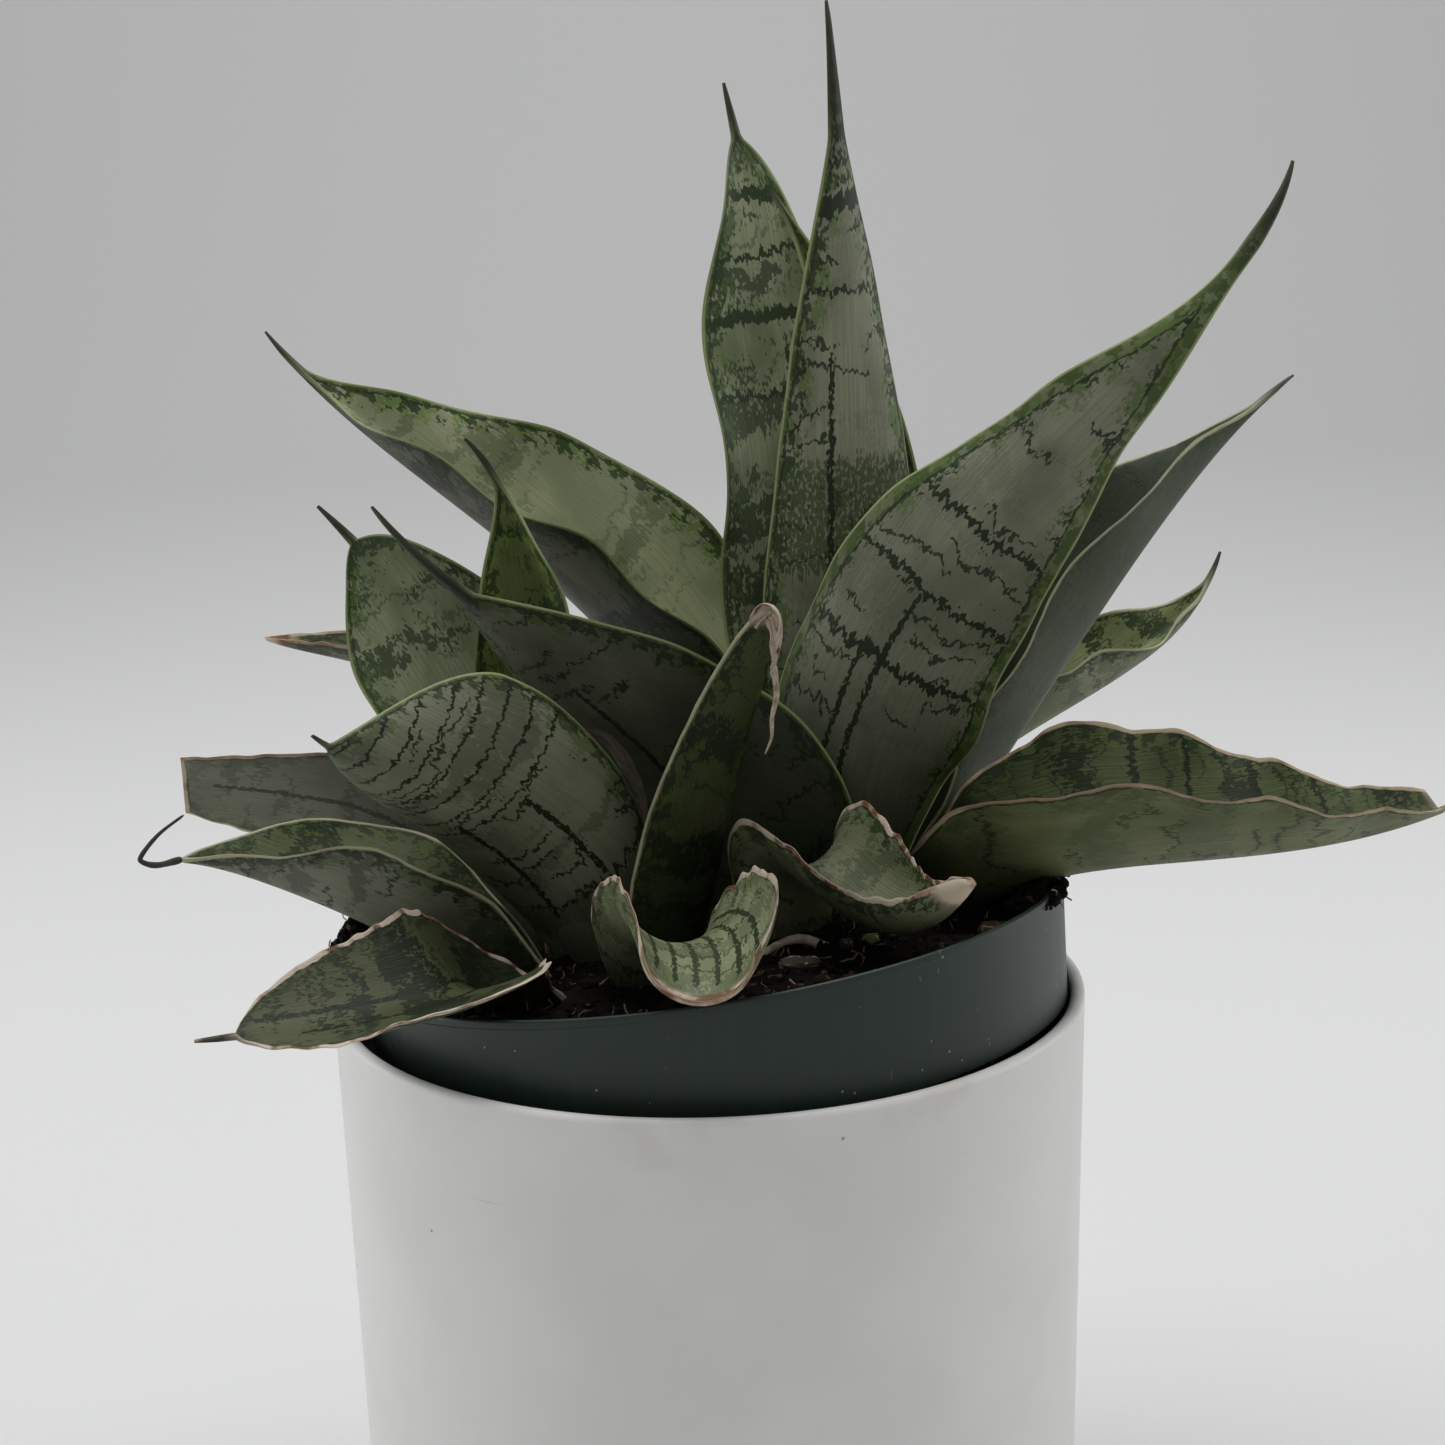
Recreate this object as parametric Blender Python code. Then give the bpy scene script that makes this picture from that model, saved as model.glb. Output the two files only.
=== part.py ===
"""A potted snake plant: two crowns of broad mottled leaves in a plastic nursery pot, which leans inside a
plain white ceramic cover pot.

Frame: origin on the cover pot's axis at its flat underside, +Z up, +X to the plant's right seen from the
front, -Y towards the front. Metres.
"""

import math
from collections import namedtuple

import bmesh
import bpy
import numpy as np
from mathutils import Matrix, Vector

MM = 0.001
GAP = 0.35 * MM  # clearance between pieces that rest on or in each other

# Cover pot: a straight-sided planter with a slight taper and a soft round lip
COVER_HEIGHT = 140 * MM
COVER_RADIUS = 79 * MM  # outside, at the lip
COVER_TAPER = math.radians(1.15)  # narrows downwards
COVER_WALL = 2.9 * MM
COVER_FLOOR = 5 * MM
COVER_FOOT_ROUND = 2 * MM
COVER_STEPS = 56

# Nursery pot: thin plastic, a deep rim band, a tapering body and drainage holes
NURSERY_RADIUS = 74.8 * MM  # outside, at the top of the rim
NURSERY_HEIGHT = 143 * MM
NURSERY_WALL = 1.2 * MM
NURSERY_FLOOR = 1.6 * MM
BAND_DEPTH = 26 * MM
BAND_DRAFT = math.radians(6)
BAND_STEP = 3 * MM  # the body is this much narrower than the foot of the band
BASE_RADIUS = 50 * MM
DRAIN_HOLES = 8
DRAIN_RADIUS = 4.5 * MM
DRAIN_RING = 36 * MM
NURSERY_STEPS = 48

# The nursery pot leans in the cover pot: its rim is raised at the right and at the front
RIM_CENTRE = Vector((0.6, 1.0, 154.5)) * MM
LEAN_RIGHT = math.radians(7.2)
LEAN_FRONT = math.radians(4.8)

# Soil
SOIL_DROP = 6 * MM  # below the rim
SOIL_RINGS = 8
SOIL_STEPS = 32
SOIL_RIPPLE = 0.6 * MM
# Two heaps: centre in the pot's own frame, breadth and height, mm
SOIL_HEAPS = (((62, 8), 15, 7), ((-60, 30), 14, 7))
FOOT_DEPTH = 8 * MM  # how deep a leaf's foot sits in the soil

# Leaves
LEAF_ROWS = 16
LEAF_COLUMNS = (-1, -0.65, -0.3, 0, 0.3, 0.65, 1)
POCKET_ROWS = 8  # rows of the leaf, from its foot, that shape its pocket in the soil
LEAF_THICKNESS = 2.2 * MM
FOLD_WIDTH = 0.22  # part of the half width over which a folded leaf turns
AWN_SLOPE = 0.08  # how fast the needle at a leaf's tip thickens
TIP_RADIUS = 0.3 * MM

# One leaf. Lengths in mm, angles in degrees, the rest as parts of one.
#   foot: plan position where it enters the soil
#   rise, bow, tip: the two guide points and the end of its spine, a cubic curve
#   facing: plan direction of its upper face at the foot; twist: how far it turns by the tip
#   width: greatest width, at `widest` along the blade; base and end: width at the foot and the end
#   taper: how full the blade stays towards the end
#   fold and cup: sharp and round turn of each half, at the foot and at the tip
#   awn: dry needle at the tip; wave, waves: height and number of ripples along the margins
Leaf = namedtuple(
    "Leaf", "name foot rise bow tip facing twist width widest base taper end fold cup awn wave waves"
)

LEAVES = (
    # right-hand crown
    Leaf("leaf_tall_centre", (27, 24), (35, 20, 220), (35, 35, 290), (29, 8, 341),
         80, 60, 38, 0.35, 0.5, 0.75, 0, (0, 0), (30, 30), 28, 0, 0),
    Leaf("leaf_tall_back", (19, 41), (25, 45, 220), (20, 50, 270), (9, 56, 325),
         -75, 10, 37, 0.6, 0.45, 0.65, 0, (0, 0), (30, 25), 12, 2.0, 3),
    Leaf("leaf_young_centre", (26, 34), (40, 35, 210), (45, 35, 260), (18, 38, 303),
         -80, 5, 28, 0.45, 0.5, 1.2, 0, (0, 0), (30, 30), 5, 0, 0),
    Leaf("leaf_big_right", (30, 14), (15, 5, 230), (105, -35, 270), (118, -12, 308),
         65, 0, 47, 0.35, 0.3, 1.5, 0, (5, 0), (35, 15), 18, 1.4, 4),
    Leaf("leaf_right_folded", (43, 36), (75, 35, 195), (105, 30, 245), (132, 49, 259),
         -160, -20, 55, 0.55, 0.3, 1.3, 0, (50, 35), (20, 10), 10, 1.0, 4),
    Leaf("leaf_right_wavy", (31, 46), (65, 62, 188), (110, 70, 182), (122, 78, 215),
         -180, 45, 44, 0.5, 0.3, 1.1, 0, (50, 35), (25, 15), 7, 1.5, 5),
    Leaf("leaf_low_right", (51, 3), (65, -20, 180), (105, -25, 165), (151, -11, 176),
         145, 0, 64, 0.35, 0.35, 1.2, 0.18, (50, 35), (30, 5), 0, 1.0, 5),
    Leaf("leaf_upper_left", (8, 63), (0, 70, 215), (-65, 55, 235), (-94, 61, 274),
         -20, -10, 68, 0.45, 0.25, 1.1, 0, (55, 45), (25, 10), 11, 1.4, 5),
    Leaf("leaf_left_awned", (13, 10), (5, 5, 200), (-40, -5, 210), (-64, -14, 246),
         75, -30, 58, 0.3, 0.35, 0.7, 0, (0, 0), (35, 10), 27, 0, 0),
    Leaf("leaf_front_curled", (20, -5), (15, -10, 200), (30, -40, 140), (51, -52, 176),
         105, 0, 38, 0.4, 0.45, 0.75, 0, (5, 25), (70, 60), 6, 0, 0),
    # left-hand crown
    Leaf("leaf_withered_tip", (-9, -9), (0, -15, 195), (10, -15, 205), (14, -22, 225),
         125, 5, 24, 0.3, 0.5, 0.5, 0, (0, 0), (40, 40), 0, 0, 0),
    Leaf("leaf_hooded", (-18, 1), (-30, -5, 185), (-60, -30, 190), (-75, -40, 206),
         85, -10, 58, 0.7, 0.35, 1.0, 0, (0, 5), (45, 80), 4, 0, 0),
    Leaf("leaf_pale_left", (-42, 19), (-55, 25, 180), (-90, 25, 175), (-113, 27, 180),
         -95, -40, 38, 0.4, 0.4, 1.1, 0.55, (0, 0), (20, 5), 0, 0, 0),
    Leaf("leaf_left_folded", (-35, -8), (-60, -10, 155), (-95, 0, 170), (-108, -12, 174),
         10, -10, 54, 0.5, 0.3, 1.3, 0, (45, 30), (30, 10), 0, 0.8, 3),
    Leaf("leaf_far_left", (-28, 50), (-50, 60, 205), (-75, 65, 195), (-100, 70, 203),
         -15, -5, 28, 0.4, 0.4, 0.8, 0, (35, 35), (20, 15), 0, 0, 0),
    Leaf("leaf_left_broad", (-33, 34), (-45, 40, 185), (-60, 40, 215), (-82, 40, 238),
         -70, 0, 43, 0.6, 0.35, 0.6, 0, (0, 0), (30, 30), 11, 1.5, 3),
    Leaf("leaf_narrow_folded", (-20, 33), (-40, 35, 195), (-30, 30, 235), (-48, 23, 254),
         -105, -5, 32, 0.6, 0.35, 1.1, 0, (30, 30), (20, 20), 11, 0.8, 4),
    Leaf("leaf_low_left", (-29, -24), (-70, -40, 160), (-20, -50, 155), (-97, -66, 154),
         25, 0, 40, 0.5, 0.3, 0.5, 0, (40, 5), (35, 10), 8, 0.8, 3),
    Leaf("leaf_front_cut", (-10, -20), (-10, -40, 165), (0, -55, 170), (-3, -79, 163),
         100, -10, 47, 0.75, 0.45, 1.0, 0.75, (0, 5), (75, 90), 0, 0, 0),
)

# Small loose pieces on the soil: name, plan position, length, breadth and height in mm, turn in degrees
BARK_CHIPS = (
    ("bark_chip_front", (18, -33), (10, 5, 3), 10),
    ("bark_chip_small", (28, -20), (4, 3, 2.5), 75),
    ("bark_chip_right", (58, -27), (7, 4.5, 3), -35),
    ("leaf_fragment", (33, -24), (4, 3, 3.5), 40),
)

# A bare root arching over the soil: guide points of its curve and radii at its ends, mm
ROOT_GUIDES = ((8, -21, 149), (12, -14, 156), (19, -12, 155), (25, -16, 152))
ROOT_RADII = (0.7, 1.1)


def clear_scene():
    for obj in list(bpy.data.objects):
        bpy.data.objects.remove(obj)


def material(name, colour, roughness):
    mat = bpy.data.materials.new(name)
    mat.use_nodes = True
    shader = mat.node_tree.nodes["Principled BSDF"]
    shader.inputs["Base Color"].default_value = (*colour, 1)
    shader.inputs["Roughness"].default_value = roughness
    shader.inputs["Metallic"].default_value = 0
    mat.diffuse_color = (*colour, 1)
    return mat


def add_object(name, mesh, mat, smooth_angle=None):
    obj = bpy.data.objects.new(name, mesh)
    bpy.context.collection.objects.link(obj)
    if mat:
        mesh.materials.append(mat)
    if smooth_angle:
        mesh.shade_smooth()
        mesh.set_sharp_from_angle(angle=smooth_angle)
    return obj


def mesh_of(name, points, faces):
    """A mesh with its faces turned outwards."""
    mesh = bpy.data.meshes.new(name)
    mesh.from_pydata([tuple(p) for p in points], [], faces)
    shape = bmesh.new()
    shape.from_mesh(mesh)
    bmesh.ops.recalc_face_normals(shape, faces=shape.faces)
    if shape.calc_volume(signed=True) < 0:
        bmesh.ops.reverse_faces(shape, faces=shape.faces)
    shape.to_mesh(mesh)
    shape.free()
    return mesh


def arc(centre, radius, start, end, count):
    """Points (r, z) of an arc, angles in degrees from +r towards +z."""
    turns = [math.radians(start + (end - start) * i / count) for i in range(count + 1)]
    return [(centre[0] + radius * math.cos(a), centre[1] + radius * math.sin(a)) for a in turns]


def turned(name, profile, steps, mat):
    """A solid turned round Z from an (r, z) profile that runs down its outer side."""
    mesh = bpy.data.meshes.new(name)
    points = [(r, 0, z) for r, z in profile]
    mesh.from_pydata(points, [(i, i + 1) for i in range(len(points) - 1)], [])
    obj = add_object(name, mesh, mat)
    screw = obj.modifiers.new("turn", "SCREW")
    screw.steps = steps
    screw.render_steps = steps
    screw.use_merge_vertices = True
    screw.merge_threshold = 0.00001
    screw.use_smooth_shade = True
    return obj


def cut(obj, cutter):
    cutter.hide_render = True
    cutter.display_type = "WIRE"
    boolean = obj.modifiers.new("cut " + cutter.name, "BOOLEAN")
    boolean.operation = "DIFFERENCE"
    boolean.solver = "EXACT"
    boolean.object = cutter


def lean():
    """The matrix from the nursery pot's own frame, origin at the rim's centre, to the plant's."""
    up = Vector((-math.tan(LEAN_RIGHT), math.tan(LEAN_FRONT), 1)).normalized()
    turn = Vector((0, 0, 1)).rotation_difference(up).to_matrix().to_4x4()
    return Matrix.Translation(RIM_CENTRE) @ turn


def rim_plane_height(x, y):
    """Height of the rim's plane above a plan position."""
    rise_right = math.tan(LEAN_RIGHT) * (x - RIM_CENTRE.x)
    rise_back = -math.tan(LEAN_FRONT) * (y - RIM_CENTRE.y)
    return RIM_CENTRE.z + rise_right + rise_back


def cover_pot():
    outer_foot = COVER_RADIUS - COVER_HEIGHT * math.tan(COVER_TAPER)
    inner_foot = outer_foot - COVER_WALL
    lip = COVER_WALL / 2
    corner = 4 * MM
    inner_top = COVER_RADIUS - COVER_WALL
    profile = [(0, COVER_FLOOR)]
    profile += arc((inner_foot - corner, COVER_FLOOR + corner), corner, -90, 0, 4)
    profile += arc((inner_top + lip, COVER_HEIGHT - lip), lip, 180, 0, 6)
    profile += arc((outer_foot - COVER_FOOT_ROUND, COVER_FOOT_ROUND), COVER_FOOT_ROUND, 0, -90, 4)
    profile += [(0, 0)]
    ceramic = material("white_ceramic", (0.76, 0.75, 0.73), 0.45)
    turned("cover_pot", profile, COVER_STEPS, ceramic)


def nursery_outer_radius(depth):
    """Outer radius of the nursery pot at a depth below its rim."""
    band_foot = NURSERY_RADIUS - BAND_DEPTH * math.tan(BAND_DRAFT)
    if depth <= BAND_DEPTH:
        return NURSERY_RADIUS - depth * math.tan(BAND_DRAFT)
    part = (depth - BAND_DEPTH) / (NURSERY_HEIGHT - BAND_DEPTH)
    return band_foot - BAND_STEP + (BASE_RADIUS - band_foot + BAND_STEP) * part


def nursery_inner_radius(depth):
    return nursery_outer_radius(depth) - NURSERY_WALL


def drain_hole(name, angle):
    """A cutter through the nursery pot's floor."""
    shape = bmesh.new()
    bmesh.ops.create_cone(
        shape, cap_ends=True, segments=16, radius1=DRAIN_RADIUS, radius2=DRAIN_RADIUS, depth=8 * MM
    )
    mesh = bpy.data.meshes.new(name)
    shape.to_mesh(mesh)
    shape.free()
    hole = add_object(name, mesh, None)
    place = Vector((DRAIN_RING * math.cos(angle), DRAIN_RING * math.sin(angle), -NURSERY_HEIGHT))
    hole.matrix_world = lean() @ Matrix.Translation(place)
    return hole


def nursery_pot():
    band_foot = nursery_outer_radius(BAND_DEPTH)
    neck = band_foot - BAND_STEP
    lip = NURSERY_WALL / 2
    floor = -NURSERY_HEIGHT + NURSERY_FLOOR
    profile = [
        (0, floor),
        (BASE_RADIUS - NURSERY_WALL, floor),
        (neck - NURSERY_WALL, -BAND_DEPTH - NURSERY_WALL),
        (band_foot - NURSERY_WALL, -BAND_DEPTH + NURSERY_WALL),
    ]
    profile += arc((NURSERY_RADIUS - lip, -lip), lip, 180, 0, 4)
    profile += [
        (band_foot, -BAND_DEPTH),
        (neck, -BAND_DEPTH),
        (BASE_RADIUS, -NURSERY_HEIGHT),
        (0, -NURSERY_HEIGHT),
    ]
    plastic = material("dark_plastic", (0.045, 0.055, 0.05), 0.5)
    pot = turned("nursery_pot", profile, NURSERY_STEPS, plastic)
    pot.matrix_world = lean()
    for i in range(DRAIN_HOLES):
        cut(pot, drain_hole(f"drain_hole_{i}", 2 * math.pi * i / DRAIN_HOLES))


def soil_relief(x, y):
    """Height of the soil above its mean level: heaped up at the right and at the back left."""
    height = SOIL_RIPPLE * math.sin(190 * x + 1.3) * math.sin(230 * y + 0.4)
    height += SOIL_RIPPLE * 0.5 * math.sin(520 * x - 410 * y)
    for centre, breadth, rise in SOIL_HEAPS:
        away = math.hypot(x - centre[0] * MM, y - centre[1] * MM) / (breadth * MM)
        height += rise * MM * math.exp(-(away**2))
    return height


def soil(cutters):
    """Soil up to just under the rim, with a pocket for every piece that stands in it."""
    top_radius = nursery_inner_radius(SOIL_DROP) - GAP
    neck_radius = nursery_inner_radius(BAND_DEPTH) - GAP
    # Radius and height of each ring, and how much of the surface's relief it follows
    rings = []
    for i in range(1, SOIL_RINGS + 1):
        part = i / SOIL_RINGS
        rings.append((top_radius * part, -SOIL_DROP, min(1, 4 * (1.02 - part))))
    rings += [
        (neck_radius, -BAND_DEPTH + NURSERY_WALL + GAP, 0),
        (neck_radius - BAND_STEP, -BAND_DEPTH - NURSERY_WALL, 0),
        (BASE_RADIUS - NURSERY_WALL - 2 * GAP, -NURSERY_HEIGHT + NURSERY_FLOOR + GAP, 0),
    ]
    points = [(0, 0, -SOIL_DROP + soil_relief(0, 0))]
    for radius, level, relief in rings:
        for step in range(SOIL_STEPS):
            angle = 2 * math.pi * step / SOIL_STEPS
            x, y = radius * math.cos(angle), radius * math.sin(angle)
            points.append((x, y, level + relief * soil_relief(x, y)))
    points.append((0, 0, rings[-1][1]))
    faces = []
    for step in range(SOIL_STEPS):
        following = (step + 1) % SOIL_STEPS
        faces.append((0, 1 + step, 1 + following))
        for ring in range(len(rings) - 1):
            a, b = 1 + ring * SOIL_STEPS, 1 + (ring + 1) * SOIL_STEPS
            faces.append((a + step, b + step, b + following, a + following))
        last = 1 + (len(rings) - 1) * SOIL_STEPS
        faces.append((last + step, len(points) - 1, last + following))
    mat = material("dark_soil", (0.018, 0.014, 0.011), 0.95)
    body = add_object("soil", mesh_of("soil", points, faces), mat)
    body.matrix_world = lean()
    for cutter in cutters:
        cut(body, cutter)


def unit(vectors):
    return vectors / np.linalg.norm(vectors, axis=-1, keepdims=True)


def leaf_foot(leaf):
    x, y = leaf.foot[0] * MM, leaf.foot[1] * MM
    return np.array((x, y, rim_plane_height(x, y) - SOIL_DROP - FOOT_DEPTH))


def leaf_frames(leaf, along):
    """Points, forward, upper-face and side directions at parts `along` of the spine, and its length."""
    guides = [leaf_foot(leaf)] + [np.array(p) * MM for p in (leaf.rise, leaf.bow, leaf.tip)]
    t = np.linspace(0, 1, 201)[:, None]
    weights = ((1 - t) ** 3, 3 * (1 - t) ** 2 * t, 3 * (1 - t) * t**2, t**3)
    curve = sum(w * g for w, g in zip(weights, guides))
    run = np.concatenate([[0], np.cumsum(np.linalg.norm(np.diff(curve, axis=0), axis=1))])
    forward = unit(np.gradient(curve, axis=0))
    facing = math.radians(leaf.facing)
    upper = np.array((math.cos(facing), math.sin(facing), 0))
    uppers = []
    for direction in forward:
        upper = unit(upper - direction * (upper @ direction))
        uppers.append(upper)
    at = np.asarray(along) * run[-1]

    def sampled(rows):
        return np.stack([np.interp(at, run, column) for column in np.array(rows).T], axis=1)

    centre, forward, upper = sampled(curve), unit(sampled(forward)), sampled(uppers)
    upper = unit(upper - forward * (upper * forward).sum(axis=1, keepdims=True))
    side = np.cross(forward, upper)
    turn = (math.radians(leaf.twist) * along**2 * (3 - 2 * along))[:, None]
    upper = upper * np.cos(turn) + side * np.sin(turn)
    return centre, forward, upper, np.cross(forward, upper), run[-1]


def leaf_half_width(leaf, along, length):
    """Half the width measured round the leaf: it swells to its widest place, then narrows to the awn."""
    blade_end = 1 - leaf.awn * MM / length
    part = np.clip(along / blade_end, 0, 1)
    swell = leaf.base + (1 - leaf.base) * np.sin(math.pi / 2 * np.clip(part / leaf.widest, 0, 1))
    fall = np.clip((part - leaf.widest) / (1 - leaf.widest), 0, 1)
    narrow = leaf.end + (1 - leaf.end) * (1 - fall**1.7) ** leaf.taper
    blade = leaf.width * MM / 2 * np.where(part < leaf.widest, swell, narrow) * (along <= blade_end)
    needle = TIP_RADIUS + AWN_SLOPE * np.minimum((1 - along) * length, max(leaf.awn, 8) * MM)
    return np.hypot(blade, needle)


def leaf_sheet(leaf, along, across):
    """Points of the leaf's middle sheet, its upper-face directions and the half widths."""
    centre, _, upper, side, length = leaf_frames(leaf, along)
    half = leaf_half_width(leaf, along, length)
    steps = np.linspace(0, 1, 41)
    fold = np.radians(leaf.fold[0] + (leaf.fold[1] - leaf.fold[0]) * along)[:, None]
    cup = np.radians(leaf.cup[0] + (leaf.cup[1] - leaf.cup[0]) * along)[:, None]
    slope = fold * np.clip(steps / FOLD_WIDTH, 0, 1) + cup * steps

    def summed(values):
        inner = np.cumsum((values[:, 1:] + values[:, :-1]) / 2 / (len(steps) - 1), axis=1)
        return np.concatenate([np.zeros((len(along), 1)), inner], axis=1)

    def at_columns(rows):
        return np.stack([np.interp(np.abs(across), steps, row) for row in rows])

    out = at_columns(summed(np.cos(slope))) * np.sign(across) * half[:, None]
    lift = at_columns(summed(np.sin(slope))) * half[:, None]
    tilt = at_columns(slope) * np.sign(across)
    phase = 2 * math.pi * leaf.waves * along[:, None]
    free = np.clip(half / 0.01, 0, 1) * np.clip(4 * along, 0, 1)
    ripple = leaf.wave * MM * across**3 * free[:, None]
    lift = lift + ripple * np.sin(phase)
    out = out + 0.7 * ripple * np.cos(phase + across)
    points = centre[:, None] + side[:, None] * out[..., None] + upper[:, None] * lift[..., None]
    faces_up = upper[:, None] * np.cos(tilt)[..., None] - side[:, None] * np.sin(tilt)[..., None]
    return points, faces_up, half


def leaf_mesh(leaf, start=0.0, end=1.0, rows=LEAF_ROWS, grow=0.0):
    """A closed leaf: the sheet thickened to both sides, thinner towards the margins and the tip."""
    along = np.linspace(start, end, rows)
    across = np.array(LEAF_COLUMNS, float)
    points, faces_up, half = leaf_sheet(leaf, along, across)
    thin_out = (1 - 0.6 * across**2)[None] * np.clip(1.15 - 0.6 * along, 0.4, 1.1)[:, None]
    thick = np.minimum(LEAF_THICKNESS * thin_out, (half * 1.6)[:, None])
    offset = faces_up * (thick / 2 + grow)[..., None]
    if grow:
        spread = unit(points[:, -1:] - points[:, :1]) * np.sign(across)[None, :, None]
        points = points + spread * grow * (np.abs(across) == 1)[None, :, None]
        points[0] += unit(points[0] - points[1]) * grow
    rings = np.concatenate([points + offset, (points - offset)[:, ::-1]], axis=1)
    count = rings.shape[1]
    faces = [tuple(range(count)), tuple(range((rows - 1) * count, rows * count))]
    for row in range(rows - 1):
        for i in range(count):
            a, b = row * count + i, row * count + (i + 1) % count
            faces.append((a, b, b + count, a + count))
    return mesh_of(leaf.name, rings.reshape(-1, 3), faces)


def leaves():
    """Every leaf, and the grown foot of each one as a cutter for the soil."""
    cutters = []
    for leaf in LEAVES:
        mat = material(leaf.name, (0.16, 0.19, 0.13), 0.5)
        add_object(leaf.name, leaf_mesh(leaf), mat, math.radians(50))
        foot_end = (POCKET_ROWS - 1) / (LEAF_ROWS - 1)
        foot = leaf_mesh(leaf, end=foot_end, rows=POCKET_ROWS, grow=GAP)
        cutters.append(add_object(leaf.name + "_pocket", foot, None))
    return cutters


def tube_mesh(name, guides, radii, grow=0.0, rows=12, sides=10):
    """A round root along a cubic curve, its radius changing evenly between the two of `radii`."""
    points = []
    faces = []
    guides = [Vector(g) * MM for g in guides]
    for row in range(rows):
        t = row / (rows - 1)
        weights = ((1 - t) ** 3, 3 * (1 - t) ** 2 * t, 3 * (1 - t) * t**2, t**3)
        centre = sum((w * g for w, g in zip(weights, guides)), Vector())
        slopes = (-3 * (1 - t) ** 2, 3 * (1 - t) * (1 - 3 * t), 3 * t * (2 - 3 * t), 3 * t**2)
        forward = sum((w * g for w, g in zip(slopes, guides)), Vector()).normalized()
        side = forward.cross(Vector((0, 0, 1))).normalized()
        upper = side.cross(forward)
        if row == 0 or row == rows - 1:
            centre += forward * grow * (1 if row else -1)
        radius = (radii[0] + (radii[1] - radii[0]) * t) * MM + grow
        for i in range(sides):
            angle = 2 * math.pi * i / sides
            points.append(centre + radius * (math.cos(angle) * side + math.sin(angle) * upper))
    for row in range(rows - 1):
        for i in range(sides):
            a, b = row * sides + i, row * sides + (i + 1) % sides
            faces.append((a, b, b + sides, a + sides))
    faces.append(tuple(range(sides)))
    faces.append(tuple(range((rows - 1) * sides, rows * sides)))
    return mesh_of(name, points, faces)


def chip_mesh(name, size, seed, grow=0.0):
    """An irregular splinter: a block with its corners moved in by chance."""
    chance = np.random.default_rng(seed)
    corners = np.array([(x, y, z) for x in (-1, 1) for y in (-1, 1) for z in (-1, 1)], float)
    corners *= 1 - 0.45 * chance.random((8, 3))
    half = np.array(size) * MM / 2
    corners = corners * (half + grow)
    shape = bmesh.new()
    for corner in corners:
        shape.verts.new(corner)
    bmesh.ops.convex_hull(shape, input=shape.verts)
    mesh = bpy.data.meshes.new(name)
    shape.to_mesh(mesh)
    shape.free()
    return mesh


def soil_height(x, y):
    """Height of the soil's surface above a plan position."""
    local = lean().inverted() @ Vector((x, y, rim_plane_height(x, y)))
    return rim_plane_height(x, y) - SOIL_DROP + soil_relief(local.x, local.y)


def loose_pieces():
    """A bare root and small chips lying in the soil, each with its cutter."""
    cutters = []
    mat = material("pale_root", (0.55, 0.5, 0.4), 0.6)
    add_object("pale_root", tube_mesh("pale_root", ROOT_GUIDES, ROOT_RADII), mat, math.radians(60))
    socket = tube_mesh("pale_root_socket", ROOT_GUIDES, ROOT_RADII, grow=GAP)
    cutters.append(add_object("pale_root_socket", socket, None))
    for seed, (name, place, size, turn) in enumerate(BARK_CHIPS):
        colour = (0.2, 0.25, 0.08) if name == "leaf_fragment" else (0.1, 0.085, 0.06)
        x, y = place[0] * MM, place[1] * MM
        where = Matrix.Translation((x, y, soil_height(x, y) + 0.2 * size[2] * MM))
        where @= Matrix.Rotation(math.radians(turn), 4, "Z")
        chip = add_object(name, chip_mesh(name, size, seed), material(name, colour, 0.85))
        chip.matrix_world = where
        socket = add_object(name + "_socket", chip_mesh(name, size, seed, grow=2 * GAP), None)
        socket.matrix_world = where
        cutters.append(socket)
    return cutters


def main():
    clear_scene()
    cover_pot()
    nursery_pot()
    soil(leaves() + loose_pieces())


main()
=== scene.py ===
"""Looks of the potted snake plant: grown leaves, turned pots, crumbly soil, and the studio they stand in.

Metres, +Z up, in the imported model's own frame. Leaf and litter sizes are given in millimetres.
"""

import math
from collections import namedtuple

import bmesh
import bpy
import numpy as np
from bpy.props import FloatProperty, FloatVectorProperty, IntProperty, PointerProperty
from mathutils import Matrix, Vector, noise


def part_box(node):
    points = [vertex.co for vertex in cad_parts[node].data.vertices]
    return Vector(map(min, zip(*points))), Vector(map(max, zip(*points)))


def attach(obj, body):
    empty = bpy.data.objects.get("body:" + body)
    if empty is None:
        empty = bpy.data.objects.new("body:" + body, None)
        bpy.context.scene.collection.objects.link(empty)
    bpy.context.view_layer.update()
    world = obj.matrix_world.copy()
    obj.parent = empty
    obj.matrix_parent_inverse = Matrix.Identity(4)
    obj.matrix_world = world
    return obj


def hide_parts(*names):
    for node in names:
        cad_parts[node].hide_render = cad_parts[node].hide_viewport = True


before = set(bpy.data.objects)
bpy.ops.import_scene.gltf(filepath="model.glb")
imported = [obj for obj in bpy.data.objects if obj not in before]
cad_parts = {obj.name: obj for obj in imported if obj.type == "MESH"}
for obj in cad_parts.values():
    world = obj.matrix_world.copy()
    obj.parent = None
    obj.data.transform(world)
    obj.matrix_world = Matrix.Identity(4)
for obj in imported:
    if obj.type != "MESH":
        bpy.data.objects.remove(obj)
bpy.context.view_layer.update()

bl_info = {
    "name": "Potted Snake Plant",
    "version": (1, 0, 0),
    "blender": (4, 5, 0),
    "location": "3D View > Sidebar > Snake Plant",
    "description": "Builds a potted snake plant and its studio round the packed model",
    "category": "Add Mesh",
}

MM = 0.001

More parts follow.
